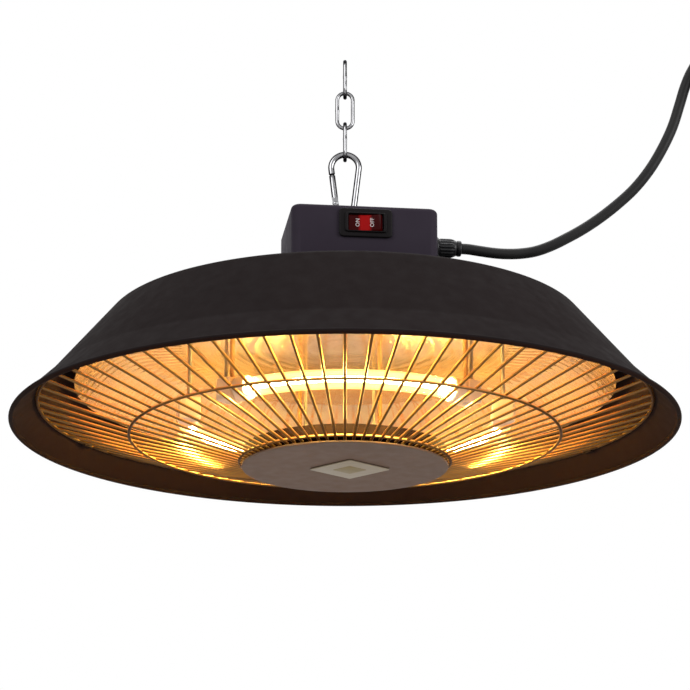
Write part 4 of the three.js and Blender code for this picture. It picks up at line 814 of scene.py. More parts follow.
def reflectorPlate(s):
    # Flat to one radius, then lower by the drop times the square of the share of the way to the edge
    share = np.linspace(0, 1, s["steps"] + 1)
    radius = s["flat"] + (s["edge"] - s["flat"]) * share
    under = np.column_stack([radius, s["height"] - s["drop"] * share ** 2])
    rings = s["flatRings"]
    flat = np.column_stack([np.linspace(0, s["flat"], rings + 1)[:-1], np.full(rings, s["height"])])
    lower = np.vstack([flat, under])
    upper = (lower + (0, s["sheet"]))[::-1]
    shells = lathe(np.vstack([lower, upper]), s["sides"])
    root = s["height"] + s["sheet"] - s["sunk"]
    wide, top = s["shoulder"], s["shoulderTop"]
    shoulder = [(0, root), (wide, root), (wide, top), (0, top)]
    shoulder = roundedLine(shoulder, [s["shoulderEdge"]] * 2, s["edgeSteps"])
    stud = threadedRod(s["stud"], top - s["studSunk"], s["studTop"], s["thread"])
    for turn in s["studTurns"]:
        place = (*(s["studCircle"] * turnZ(turn)[:2, 0]), 0)
        shells += placed(lathe(shoulder, s["shoulderSides"]), shift=place) + placed(stud, shift=place)
    wide, low = lamp["hanger"], lamp["height"] + lamp["hangerLow"]
    hanger = [(0, low), (wide, low), (wide, root), (0, root)]
    hanger = lathe(roundedLine(hanger, s["hangerEdges"], s["edgeSteps"]), s["hangerSides"])
    for name in lampTurns:
        for end in (1, -1):
            shells += placed(hanger, shift=(*atCap(name, end, lamp["hangerPast"])[:2], 0))
    return shells


finishPiece("reflector_plate", reflectorPlate(reflector), "heater", ["reflector"],
            made["polishedCopper"])
print("shade and reflector made")


# Nuts: six sides with chamfered corners, and a bore

nuts = {
    "deckFlats": 8, "deckLow": 71.1, "deckHeight": 3.2, "hubFlats": 7, "hubHeight": 3,
    "eyeFlats": 7, "eyeLow": 66.3, "eyeHeight": 3, "gap": 0.3, "points": 48,
    # In degrees: each deck nut's turn on from the one before, the eye's nuts' turn, and a sharp edge
    "deckTurn": 17, "eyeTurn": 11, "sharpAngle": 25,
    # Share of the height, with the chamfer circle's radius as a share of the flats
    "chamfer": ((0, 0.5), (0.09, 0.545), (0.18, 1), (0.82, 1), (0.91, 0.545), (1, 0.5)),
    # Share of the height, with how far the bore widens there
    "mouths": ((1, 1.12), (0.9, 1), (0.1, 1), (0, 1.12)),
}


def hexNut(s, flats, bore, low, height):
    # A hexagon whose corners are cut by the chamfer circle at both faces
    way = circle(1, s["points"])
    turn = 2 * np.pi * np.arange(s["points"]) / s["points"]
    reach = flats / 2 / np.cos((turn + np.pi / 6) % (np.pi / 3) - np.pi / 6)
    outer = [(share, np.minimum(reach, flats * limit)) for share, limit in s["chamfer"]]
    inner = [(share, np.full(s["points"], bore * wide)) for share, wide in s["mouths"]]
    return loft([np.column_stack([way * radius[:, None], np.full(s["points"], low + height * share)])
                 for share, radius in outer + inner], closeRows=True)


for i, turn in enumerate(reflector["studTurns"]):
    place = (*(reflector["studCircle"] * turnZ(turn)[:2, 0]), 0)
    bore = reflector["stud"] + nuts["gap"]
    nut = hexNut(nuts, nuts["deckFlats"], bore, nuts["deckLow"], nuts["deckHeight"])
    finishPiece(f"stud_nut_{i + 1}", placed(nut, turnZ(nuts["deckTurn"] * i), place), "heater",
                [f"deck_nut_{i + 1}"], made["zinc"], nuts["sharpAngle"])


# Guard: 72 radial wires welded to three rings

guard = {
    "wires": 72, "radius": 1, "sides": 8, "ringSides": 10, "ringSteps": 216,
    "outer": (194.7, 13.9), "middle": (136.7, -4), "hub": (66.8, -21.2), "end": (61.8, -22.43),
    "weld": 0.9, "bends": (40, 10), "bendSteps": 4, "outerPast": 0.4,
}


def guardGrille(s):
    # One wire: a round section along a line with eased bends, repeated about the axis. The middle
    # ring lies just under the wires, and they sink into it by the weld's depth
    line = roundedLine([s["outer"], s["middle"], s["hub"], s["end"]], s["bends"], s["bendSteps"])
    path = np.column_stack([line[:, 0], 0 * line[:, 0], line[:, 1]])
    path[0, 0] += s["outerPast"] * s["radius"]
    one = sweep(path, circle(s["radius"], s["sides"]), (0, 1, 0))
    shells = []
    for i in range(s["wires"]):
        shells += placed(one, turnZ(360 * i / s["wires"]))
    below = s["weld"] - 2 * s["radius"]
    for (radius, height), lift in ((s["outer"], 0), (s["middle"], below), (s["hub"], 0)):
        line = circle(radius, s["ringSteps"])
        ring = np.column_stack([line, np.full(len(line), height + lift)])
        shells += sweep(ring, circle(s["radius"], s["ringSides"]), (0, 0, 1), closed=True)
    return shells


finishPiece("guard_wires", guardGrille(guard), "heater", ["guard_grille"],
            made["guardWire"])
print("guard made")


# Hub: plate below the wires, pan above them, badge under the plate

hub = {
    "radius": 65.4, "low": -25.23, "high": -23.73, "edge": 0.75, "faceLess": 4, "faceRings": 8,
    "stud": 2, "studTop": -14.89, "studSunk": 0.5, "thread": 0.7,
    "panRadius": 64.6, "panSheet": 1, "panLow": -20.19, "skirt": 7, "panBend": 1.4, "sides": 144,
    "nutLow": -18.89, "edgePoints": 9, "innerSteps": 4, "sharpAngle": 50,
}


def hubPlate(s):
    # A flat disc with a round edge, and the stud that stands on it
    turn = np.linspace(-np.pi / 2, np.pi / 2, s["edgePoints"])
    middle, bulge = (s["low"] + s["high"]) / 2, s["edge"]
    edge = np.column_stack([s["radius"] - bulge + bulge * np.cos(turn), middle + bulge * np.sin(turn)])
    rings = s["faceRings"]
    face = np.column_stack([np.linspace(0, s["radius"] - s["faceLess"], rings), np.full(rings, s["low"])])
    rows = np.vstack([face, edge, [(0, s["high"])]])
    stud = threadedRod(s["stud"], s["high"] - s["studSunk"], s["studTop"], s["thread"])
    return lathe(rows, s["sides"]) + stud


def hubPan(s):
    # A bent line turned about the axis: flat round the stud's hole, then up the skirt
    low, wall, reach = s["panLow"], s["panSheet"], s["panRadius"]
    hole, top = s["stud"] + nuts["gap"], s["panLow"] + s["skirt"]
    outer = roundedLine([(hole, low), (reach, low), (reach, top)], [s["panBend"]])
    inner = roundedLine([(reach - wall, top), (reach - wall, low + wall), (hole, low + wall)],
                        [s["panBend"] / 2], s["innerSteps"])
    return lathe(np.vstack([outer, inner]), s["sides"], closed=True)


badge = {
    "halfWidth": 25.5, "halfDepth": 24, "low": -26.33, "high": -25.53, "shift": 3, "corner": 1.2,
    "bevel": 0.25, "inlayShare": 0.42, "inlayProud": 0.12, "inlaySunk": 0.3, "inlayBevel": 0.1,
}


def diamond(halfWidth, halfDepth, corner):
    # Four corners, each rounded by a small arc
    points = [(halfWidth, 0), (0, halfDepth), (-halfWidth, 0), (0, -halfDepth)]
    start = (np.array(points[3]) + np.array(points[0])) / 2
    return roundedLine([start, *points, start], [corner] * 4, 4)[:-1]


def badgePlate(s):
    # The diamond as a plate
    whole = diamond(s["halfWidth"], s["halfDepth"], s["corner"])
    return placed(plate(whole, s["low"], s["high"], s["bevel"]), shift=(s["shift"], 0, 0))


def badgeInlay(s):
    # A smaller diamond, a little proud of the plate
    share = s["inlayShare"]
    small = diamond(s["halfWidth"] * share, s["halfDepth"] * share, s["corner"] / 2)
    inlay = plate(small, s["low"] - s["inlayProud"], s["low"] + s["inlaySunk"], s["inlayBevel"])
    return placed(inlay, shift=(s["shift"], 0, 0))


finishPiece("hub_disc", hubPlate(hub), "heater", ["hub_plate"], made["hubCoat"],
            hub["sharpAngle"])
finishPiece("hub_dish", hubPan(hub), "heater", ["hub_pan"], made["panCoat"],
            hub["sharpAngle"])
hubNut = hexNut(nuts, nuts["hubFlats"], hub["stud"] + nuts["gap"], hub["nutLow"], nuts["hubHeight"])
finishPiece("hub_lock_nut", hubNut, "heater", ["hub_nut"], made["zinc"], nuts["sharpAngle"])
finishPiece("badge_plate", badgePlate(badge), "heater", ["hub_badge"], made["badgePlate"])
finishPiece("badge_inlay", badgeInlay(badge), "heater", [], made["badgeInlay"])
print("hub made")


# Lamps: quartz tube, wound filament and two ceramic caps each

def lampSkin(s, rows, sides):
    # Rings round the lamp's middle line. Each row is (radius, distance along the line)
    radius, along = np.asarray(rows, float).T[:, :, None]
    turn = 2 * np.pi * np.arange(sides) / sides
    return alongLamp(s, along, radius * np.cos(turn), radius * np.sin(turn))


def quartzTube(s):
    # A round tube, outer skin and inner skin joined at rounded ends
    half, wall, radius = lampReach + s["end"], s["wall"], s["radius"]
    straight = half - s["glassEase"]
    outside = [(radius, along) for along in np.linspace(-straight, straight, s["glassRings"])]
    inside = [(radius - wall, along) for along in np.linspace(straight, -straight, s["glassRings"])]
    rows = [(radius - wall / 2, -half), *outside, (radius - wall / 2, half), *inside]
    return loft(lampSkin(s, rows, s["glassSides"]), closeRows=True)


def filamentCoil(s):
    # At turn angle a: coil cos a out, coil sin a up and pitch a / 360 along, between straight pins,
    # with a short slug where the coil meets each pin
    half = lampReach + s["coilEnd"]
    turns = 2 * half / s["pitch"]
    a = np.linspace(0, 2 * np.pi * turns, int(turns * s["coilSteps"]) + 1)
    along = a / (2 * np.pi) * s["pitch"] - half
    path = alongLamp(s, along, s["coil"] * np.cos(a), s["coil"] * np.sin(a))
    bend = np.clip(along, -lampReach, lampReach) / s["circle"]
    side = np.stack([-np.sin(bend), np.cos(bend), 0 * bend], axis=1)
    shells = sweep(path, circle(s["wire"], s["wireSides"]), side)
    rods = [(s["pin"], half - s["pinSunk"], lampReach + s["pinEnd"]),
            (s["coil"] + s["slugWider"], half - s["slugSunk"], half + s["slugPast"])]
    for end in (-1, 1):
        for wide, start, stop in rods:
            rows = [(0, end * start), (wide, end * start), (wide, end * stop), (0, end * stop)]
            shells += loft(lampSkin(s, rows, s["pinSides"]))
    return shells


def endCap(s):
    # Along Z from the end of the bend: a turned collar round the glass, a neck, and a square block
    # with an upright hole for its hanger
    mouth, shoulder = s["radius"] + s["gap"], s["end"] + s["gap"]
    inBlock = s["blockStart"] + s["overlap"]
    turned = roundedLine([
        (mouth, s["capStart"]), (s["collar"], s["capStart"]), (s["collar"], s["collarEnd"]),
        (s["neck"], s["collarEnd"]), (s["neck"], inBlock), (s["bore"], inBlock),
        (s["bore"], shoulder), (mouth, shoulder),
    ], [s["capEdge"]] * 2 + [s["capInnerEdge"]] * 4, s["capSteps"])
    middle = (s["blockStart"] + s["blockEnd"]) / 2
    width = s["blockEnd"] - s["blockStart"]
    outline = roundedRectangle(width, s["block"], s["blockCorner"], s["blockSteps"])
    points = len(outline)    # the hole has as many, turned by half a step to lie opposite
    hole = circle(s["hanger"] + s["gap"], points, math.pi / points) + (s["hangerPast"], 0)
    square = plate(outline + (middle, 0), -s["block"] / 2, s["block"] / 2, s["blockBevel"], hole=hole)
    return placed(lathe(turned, s["capSides"], closed=True), alongX) + square


for name, turn in lampTurns.items():
    tube = finishPiece(f"quartz_{name}", placed(quartzTube(lamp), turnZ(turn)), "heater",
                       [f"quartz_tube_{name}"], made["litQuartz"])
    back = turnZ(turn)[:2, :2]
    markDistance(tube, lambda co: lamp["circle"] * np.abs(np.arctan2(*(co[:, :2] @ back).T[::-1])))
    finishPiece(f"glow_wire_{name}", placed(filamentCoil(lamp), turnZ(turn)), "heater",
                [f"filament_{name}"], made["glowingFilament"])
    for i, end in enumerate((1, -1)):
        facing = turnZ(turn + end * (lamp["bend"] + 90))
        cap = placed(endCap(lamp), facing, atCap(name, end, 0))
        finishPiece(f"lamp_cap_{name}_{i + 1}", cap, "heater", [f"end_cap_{name}_{i + 1}"],
                    made["ceramic"])
print("lamps made")


# Leads from the caps over the reflector and up through the deck

leads = {
    "radius": 1.1, "start": 12.3, "run": 61.5, "bend": 5.5, "passX": 24, "circle": 7.2, "top": 83.9,
    "past": 23.2, "sides": 12, "bendSteps": 8,
}


def lampLead(s, x, y):
    # Up from the cap, level over the reflector to its place on a circle under the box, and up
    way = np.array([s["passX"] - x, -y]) / math.hypot(s["passX"] - x, y)
    end = np.array([s["passX"], 0]) - way * s["circle"]
    line = [(x, y, s["start"]), (x, y, s["run"]), (*end, s["run"]), (*end, s["top"])]
    path = roundedLine(line, [s["bend"]] * 2, s["bendSteps"])
    return sweep(path, circle(s["radius"], s["sides"]), (-way[1], way[0], 0))


for name in lampTurns:
    for i, end in enumerate((1, -1)):
        x, y = atCap(name, end, leads["past"])[:2]
        finishPiece(f"sleeved_lead_{name}_{i + 1}", lampLead(leads, x, y), "heater",
                    [f"lamp_lead_{name}_{i + 1}"], made["leadSleeve"])


# Switch box: moulded shell with a closed top, open below, with a gasket under it

def boxShell(s):
    # Rows from the ceiling inside, down the inner wall, out under the foot, up the outer wall and
    # over the rounded top edge
    def row(less, z, corner):
        outline = roundedRectangle(s["width"] - 2 * less, s["depth"] - 2 * less, corner, s["steps"])
        return np.column_stack([outline, np.full(len(outline), z)])
    low, high, wall, corner, foot = s["low"], s["high"], s["wall"], s["corner"], s["foot"]
    rows = [row(wall, high - wall, corner - wall), row(wall, low, corner - wall),
            row(foot, low, corner), row(0, low + foot, corner)]
    for rise, less in zip(s["grooveHeights"], (0, s["groove"], s["groove"], 0)):
        rows.append(row(less, low + rise, corner))
    edge = s["topEdge"]
    for a in np.linspace(0, np.pi / 2, s["edgePoints"]):
        less = edge * (1 - math.cos(a))
        rows.append(row(less, high - edge + edge * math.sin(a), corner - less * s["cornerShare"]))
    rows.append(row(s["topLess"], high, s["topCorner"]))
    return loft(rows)


gasket = {"low": 71.1, "high": 72.3, "less": 0.4, "strip": 2.5, "edge": 0.3}


def boxGasket(s):
    # A flat strip that follows the box's foot
    width, depth, corner, steps = box["width"], box["depth"], box["corner"], box["steps"]
    strip = s["strip"]
    outer = roundedRectangle(width - s["less"], depth - s["less"], corner, steps)
    inner = roundedRectangle(width - 2 * strip, depth - 2 * strip, corner - strip, steps)
    return plate(outer, s["low"], s["high"], s["edge"], hole=inner)


finishPiece("switch_box", onBox(boxShell(box)), "heater", ["junction_box"],
            made["boxPlastic"], box["sharpAngle"])
finishPiece("box_seal", onBox(boxGasket(gasket)), "heater", ["box_gasket"],
            made["blackRubber"])


# Switch: frame, bezel and the rocker with its lettering

switch = {
    "height": 125.6, "wallFace": 37, "gap": 0.3, "overlap": 0.5,
    "frameWidth": 34, "frameHeight": 19, "frameThickness": 1.6, "frameCorner": 2.6, "frameBevel": 0.7,
    "bezelWidth": 26.5, "bezelHeight": 13, "bezelRise": 1.2, "bezelCorner": 1.6, "bezelBevel": 0.55,
    "openingGap": 0.7, "openingCorner": 0.8, "bodyBevel": 0.2, "back": -22, "room": 6.5,
    "terminal": 5.5, "tab": (5, 1, 0.2), "tabLength": 6.7, "tabBevel": 0.1,
    "rockerLength": 22, "rockerWidth": 10.4, "rockerBevel": 0.5, "axisDepth": 2, "hollow": 3.4,
    "valley": 1.2, "valleyShare": 0.6, "frontTurn": 25, "backTurn": 20, "tilt": 8, "backOverlap": 0.1,
}


def onSwitch(shells):
    # From a plan seen from the front, with Z out of the wall, to the box's front
    return onBox(placed(shells, facingFront, (0, -switch["wallFace"], switch["height"])))


def switchHousing(s):
    # Frame and bezel in front of the wall, the body's open part, its closed back and two tabs
    wide, high = s["rockerLength"] + s["openingGap"], s["rockerWidth"] + s["openingGap"]
    opening = roundedRectangle(wide, high, s["openingCorner"])
    frame = roundedRectangle(s["frameWidth"], s["frameHeight"], s["frameCorner"])
    bezel = roundedRectangle(s["bezelWidth"], s["bezelHeight"], s["bezelCorner"])
    start, front = s["gap"], s["gap"] + s["frameThickness"]
    floor, depth = -s["room"] - s["axisDepth"], s["wallFace"] + s["back"]
    shells = plate(frame, start, front, s["frameBevel"], hole=opening)
    shells += plate(bezel, front - s["overlap"], front + s["bezelRise"], s["bezelBevel"], hole=opening)
    shells += plate(bezel, floor, s["overlap"], s["bodyBevel"], hole=opening)
    shells += plate(bezel, -depth, floor + s["backOverlap"], s["bodyBevel"])
    tab = plate(roundedRectangle(*s["tab"], 2), -depth - s["tabLength"], -depth + start, s["tabBevel"])
    for side in (-1, 1):
        shells += placed(tab, shift=(side * s["terminal"], 0, 0))
    return shells


def rockerFace(s, x):
    # Depth of the rocker's front from its axis: a shallow valley with an eased bottom
    end = s["rockerLength"] / 2 * math.sin(math.radians(s["frontTurn"]))
    reach = s["rockerLength"] / 2 * math.cos(math.radians(s["frontTurn"]))
    slope = (end - s["hollow"]) / reach
    eased = slope * np.sqrt(np.asarray(x) ** 2 + s["valley"])
    return s["hollow"] + eased - slope * math.sqrt(s["valley"]) * s["valleyShare"]


def rockerBody(s):
    # Plan outline: round ends about the axis, the valley in front and a flat back
    radius = s["rockerLength"] / 2
    turn = np.radians(np.linspace(-s["backTurn"], s["frontTurn"], 9))
    right = np.stack([radius * np.cos(turn), radius * np.sin(turn)], axis=1)
    x = np.linspace(right[-1, 0], -right[-1, 0], 21)[1:-1]
    face = np.stack([x, rockerFace(s, x)], axis=1)
    left = (right * (-1, 1))[::-1]
    outline = np.vstack([right, face, left])
    half = s["rockerWidth"] / 2
    return placed(plate(outline, -half, half, s["rockerBevel"]), np.diag([1.0, -1.0, 1.0]))


def tilted(shells, s):
    # About the rocker's upright axis, then to its place in the box's front
    return onBox(placed(shells, turnZ(-s["tilt"]), (0, -s["wallFace"] + s["axisDepth"], s["height"])))


lettering = {"size": 3.5, "words": (("ON", -4.6), ("OFF", 4.6)), "proud": 0.06, "sink": 0.25, "bold": 0.05}


def rockerWord(s, word, x):
    # Letters of the word laid on the rocker's face: read upwards, with their tops to the left
    curve = bpy.data.curves.new(word, "FONT")
    curve.body = word
    curve.size = s["size"]
    curve.align_x = "CENTER"
    curve.align_y = "CENTER"
    curve.resolution_u = 3
    curve.extrude = 0.5    # any depth, as both faces are moved to the rocker's below
    curve.offset = s["bold"]
    text = bpy.data.objects.new(word, curve)
    bpy.context.scene.collection.objects.link(text)
    bpy.context.view_layer.update()
    mesh = bpy.data.meshes.new_from_object(text)
    points = np.empty(len(mesh.vertices) * 3)
    mesh.vertices.foreach_get("co", points)
    points = points.reshape(-1, 3)
    faces = [list(face.vertices) for face in mesh.polygons]
    bpy.data.objects.remove(text)
    bpy.data.meshes.remove(mesh)
    along = x - points[:, 1]
    depth = rockerFace(switch, along) + np.where(points[:, 2] > 0, s["proud"], -s["sink"])
    return [(np.stack([along, -depth, points[:, 0]], axis=1), faces)]


finishPiece("switch_frame", onSwitch(switchHousing(switch)), "heater", ["switch_housing"],
            made["switchPlastic"])
rockerPiece = finishPiece("rocker_key", tilted(rockerBody(switch), switch), "rocker",
                          ["switch_rocker"], made["litRocker"])
rockerAxis = np.array([0, -switch["wallFace"] + switch["axisDepth"], 0])
rockerMiddle = turnZ(box["turn"]) @ rockerAxis + (box["shift"], 0, 0)
keyWay = turnZ(box["turn"] - switch["tilt"])[:2, 0]
markDistance(rockerPiece, lambda co: np.abs((co[:, :2] / mm - rockerMiddle[:2]) @ keyWay))
words = [shell for word, x in lettering["words"] for shell in rockerWord(lettering, word, x)]
finishPiece("rocker_lettering", tilted(words, switch), "rocker", [], made["lettering"])
print("switch made")


# Gland: flange on the box's right wall, ribbed nut, collar

gland = {
    "height": 123.6, "wallX": 47, "inside": 36.5, "thread": 5, "flange": 7, "flangeLength": 5,
    "nut": 6.2, "nutLength": 11.5, "collar": 5.2, "collarLength": 3.3, "mouth": 3.9, "mouthDepth": 1.5,
    "edges": (0.2, 0.2, 0.3, 0.9, 0.2, 0.2, 0.8, 1.0, 0.2, 0.2), "bodySides": 48, "gap": 0.3,
    "boreGap": 0.1, "sides": 108, "ribs": 18, "ribDepth": 0.45, "edgeSteps": 4, "nutPoints": 25,
    # Shares of the nut's length: where its dome begins, its foot's width, and where the ribs
    # have risen, end and begin to fall
    "domeFrom": 0.62, "footShare": 0.04, "footLess": 0.06, "ribRise": 0.08, "ribEnd": 0.92, "ribFall": 0.12,
}


def onGland(shells):
    return onBox(placed(shells, alongX, (0, 0, gland["height"])))


def glandBody(s):
    # Turned about its own axis: thread through the wall, flange, waist inside the nut, and collar
    # with a mouth for the cord
    start, gap, thread, flange = s["wallX"] + s["gap"], s["gap"], s["thread"], s["flange"]
    flangeEnd, waist = start + s["flangeLength"], thread - gap
    nutEnd = flangeEnd + gap + s["nutLength"]
    end = nutEnd + s["collarLength"]
    floor = end - s["mouthDepth"]
    line = [(0, s["inside"]), (thread, s["inside"]), (thread, start), (flange, start),
            (flange, flangeEnd), (waist, flangeEnd), (waist, nutEnd + gap), (s["collar"], nutEnd + gap),
            (s["collar"], end), (s["mouth"], end), (s["mouth"], floor), (0, floor)]
    return lathe(roundedLine(line, s["edges"], s["edgeSteps"]), s["bodySides"])


def glandNut(s):
    # Radius falls with the ribs' wave round the nut, and the nut's end is domed
    start = s["wallX"] + 2 * s["gap"] + s["flangeLength"]
    length = s["nutLength"] - s["gap"]
    share = np.linspace(0, 1, s["nutPoints"])[:, None]
    turn = (2 * np.pi * np.arange(s["sides"]) / s["sides"])[None, :]
    dome = np.sqrt(np.clip(1 - np.clip((share - s["domeFrom"]) / s["domeFrom"], 0, 1) ** 2, 0, 1))
    foot = 1 - s["footLess"] * np.exp(-(share / s["footShare"]) ** 2)
    wave = 0.5 - 0.5 * np.cos(s["ribs"] * turn)
    rise = np.clip(share / s["ribRise"], 0, 1)
    fall = np.clip((s["ribEnd"] - share) / s["ribFall"], 0, 1)
    radius = s["nut"] * dome * foot - s["ribDepth"] * wave ** 0.5 * rise * fall
    place = start + length * share
    outer = np.stack([radius * np.cos(turn), radius * np.sin(turn), place + 0 * turn], axis=-1)
    bore = np.full((2, 1), s["thread"] + s["boreGap"])
    ends = np.array([[start + length], [start]])
    inner = np.stack([bore * np.cos(turn), bore * np.sin(turn), ends + 0 * turn], axis=-1)
    return loft(np.concatenate([outer, inner]), closeRows=True)


finishPiece("gland_flange", onGland(glandBody(gland)), "heater", ["gland_body"],
            made["blackPlastic"])
finishPiece("gland_cap", onGland(glandNut(gland)), "heater", ["gland_nut"],
            made["blackPlastic"])


# Wires inside the box, along the same points as the frame's

inside = {
    "radius": 1.3, "sides": 12, "side": (0.3, 0.8, 0.52), "start": 36.2, "spread": 3.2,
    "gland": gland["height"], "switch": switch["height"], "terminal": switch["terminal"], "bend": 7,
    "tabs": switch["back"] + switch["tabLength"], "block": (15.38, -1.89), "blockTop": 97.68,
    "earth": 37.55, "deck": 70.8, "gap": 0.3, "steps": 8,
}


def insideRoutes(s):
    # Points from the gland or the switch's tabs to the block, the deck or the switch
    start, spread, bend, tabs = s["start"], s["spread"], s["bend"], s["tabs"]
    tab, high = s["terminal"], s["switch"]
    x, y = s["block"]
    return {
        "live_core": [(start, -spread, s["gland"]), (start - bend, -spread, s["gland"]),
                      (start - 3 * bend, tabs + bend, high), (tab, tabs + bend, high),
                      (tab, tabs + s["gap"], high)],
        "neutral_core": [(start, spread, s["gland"]), (start - bend / 2, spread, s["gland"]),
                         (x + bend, spread, s["gland"] - bend), (x + bend, spread, s["blockTop"] + bend),
                         (x + bend, spread, s["blockTop"] + s["gap"])],
        "earth_core": [(start, 0, s["gland"] - spread), (start - bend / 2, 0, s["gland"] - spread),
                       (s["earth"], bend, s["gland"] - 3 * bend), (s["earth"], bend, s["deck"] + bend),
                       (s["earth"], bend, s["deck"] + s["gap"])],
        "switch_wire": [(-tab, tabs + s["gap"], high), (-tab, tabs + bend, high),
                        (-spread, y, high - bend), (x - bend, y, s["blockTop"] + bend),
                        (x - bend, y, s["blockTop"] + s["gap"])],
    }


sleeves = {"live_core": ("live_sleeve", "liveSleeve"), "neutral_core": ("neutral_sleeve", "neutralSleeve"),
           "earth_core": ("earth_sleeve", "earthSleeve"), "switch_wire": ("live_sleeve", "liveSleeve")}
for name, points in insideRoutes(inside).items():
    slot, finish = sleeves[name]
    section = circle(inside["radius"], inside["sides"])
    tube = sweep(smoothRoute(points, inside["steps"]), section, inside["side"])
    finishPiece(f"{name}_sleeve", onBox(tube), "heater", [name], made[finish])
print("box, gland and wires made")


# Hanging eye, snap hook and chain

eye = {"rod": 3.5, "bend": 8, "bendHeight": 137.85, "low": 65.3, "legMiddle": 100, "sides": 20,
       "steps": 24}


def hangingEye(s):
    # Up one leg, over half a circle and down the other leg
    legs = np.array([(0, -s["bend"], s["low"]), (0, -s["bend"], s["legMiddle"])])
    over = arc((0, s["bendHeight"]), s["bend"], math.pi, 0, s["steps"], "yz")
    path = np.vstack([legs, over, (legs * (1, -1, 1))[::-1]])
    return sweep(path, circle(s["rod"] / 2, s["sides"]), (1, 0, 0))


finishPiece("eye_rod", hangingEye(eye), "heater", ["hanging_eye"], made["zinc"])
for name, y in (("front", -eye["bend"]), ("back", eye["bend"])):
    bore = eye["rod"] / 2 + nuts["gap"]
    nut = hexNut(nuts, nuts["eyeFlats"], bore, nuts["eyeLow"], nuts["eyeHeight"])
    finishPiece(f"eye_lock_nut_{name}", placed(nut, turnZ(nuts["eyeTurn"]), (0, y, 0)), "heater",
                [f"eye_nut_{name}"], made["zinc"], nuts["sharpAngle"])

hook = {
    "wire": 4, "topCentre": 176.6, "topRadius": 9, "lowCentre": 147.3, "lowRadius": 5.5, "lean": 6.861,
    "pin": (-6.081, 151.8), "sides": 24, "nose": (0, 0.35, 1), "easedStart": 0.86, "easedEnd": 0.82,
    "gateLow": 2.86, "gateMiddle": (8, 14), "gateLength": 19.64, "gateGap": 0.5, "ease": (0.3, 0.5),
    "tongue": 1.6, "tongueEnd": 0.7,
    "tonguePoints": (-3.8, -3.3, -2.8, 0, 1, 1.6),    # above the pin; the last four are flattened
    "rivetHead": ((0, 0.15), (0.77, 0.1), (1.1, -0.15), (0.6, -0.35)),    # radius, past the wire
    "heel": 1.8, "slot": 2.2, "cheekTop": 1.2, "cheekShare": 0.92, "cheekLess": 0.1, "cheekBevel": 0.25,
    "topSteps": 40, "lowSteps": 32, "rivetSides": 20, "heelPoints": 13,
}


def onGate(s, distance):
    # A point on the gate's leaning line, so far above its pin
    lean = math.radians(s["lean"])
    x, z = s["pin"]
    distance = np.asarray(distance, float)
    return np.stack([x - distance * math.sin(lean), 0 * distance, z + distance * math.cos(lean)], axis=-1)


def snapHook(s):
    # The wire from its nose over the top bend and the lower bend to the flattened tongue, and the
    # gate's rivet
    lean = math.radians(s["lean"])
    nose = onGate(s, s["gateLength"] + s["gateGap"] + np.array(s["nose"]))
    top = arc((0, s["topCentre"]), s["topRadius"], math.pi + lean, -lean, s["topSteps"])
    low = arc((0, s["lowCentre"]), s["lowRadius"], -lean, lean - math.pi, s["lowSteps"])
    path = np.vstack([nose, top, low, onGate(s, s["tonguePoints"])])
    scale = np.ones((len(path), 2))
    scale[0] = s["easedEnd"]
    flat = s["tongue"] / s["wire"]
    scale[-5, 0], scale[-4:, 0], scale[-1, 1] = (1 + flat) / 2, flat, s["tongueEnd"]
    ring = sweep(path, circle(s["wire"] / 2, s["sides"]), (0, 1, 0), scale=scale)
    half = s["wire"] / 2
    head = [(radius, half + past) for radius, past in s["rivetHead"]]
    rivet = head + [(r, -z) for r, z in head[::-1]]
    return ring + placed(lathe(rivet, s["rivetSides"]), alongY, (s["pin"][0], 0, s["pin"][1]))


def snapGate(s):
    # Upper part round, its end eased for the nose; two cheeks below go past the tongue
    low, high, half, (startEase, endEase) = s["gateLow"], s["gateLength"], s["wire"] / 2, s["ease"]
    line = onGate(s, [low, low + startEase, *s["gateMiddle"], high - endEase, high])
    scale = np.array([s["easedStart"], 1, 1, 1, 1, s["easedEnd"]])
    rod = sweep(line, circle(half, s["sides"]), (0, 1, 0), scale=np.stack([scale, scale], 1))
    turn = np.linspace(np.pi, 2 * np.pi, s["heelPoints"])
    foot = np.stack([half * np.cos(turn), s["heel"] * np.sin(turn)], axis=1)
    top = low + s["cheekTop"]
    outline = np.vstack([foot, [(half, top), (-half, top)]]) * (s["cheekShare"], 1)
    cosLean, sinLean = math.cos(math.radians(s["lean"])), math.sin(math.radians(s["lean"]))
    upright = np.array([[cosLean, 0, -sinLean], [0, 1, 0], [sinLean, 0, cosLean]])
    swapYZ = np.array([[1, 0, 0], [0, 0, 1], [0, 1, 0]], float)
    near, far = s["slot"] / 2, half - s["cheekLess"]
    cheeks = []
    for start, end in ((-far, -near), (near, far)):
        cheek = placed(plate(outline, start, end, s["cheekBevel"]), swapYZ)
        cheeks += placed(cheek, upright, (s["pin"][0], 0, s["pin"][1]))
    return rod + cheeks


finishPiece("hook_ring", snapHook(hook), "hook", ["snap_hook"], made["chrome"])
finishPiece("hook_gate", snapGate(hook), "gate", ["snap_gate"], made["chrome"])

chain = {"length": 27.2, "width": 12.7, "wire": 2.5, "first": 180.8, "pitch": 21.9, "sides": 18,
         "weld": 0.12, "weldSpan": 1.0, "far": 100, "bendSteps": 20, "sidePoints": 15}


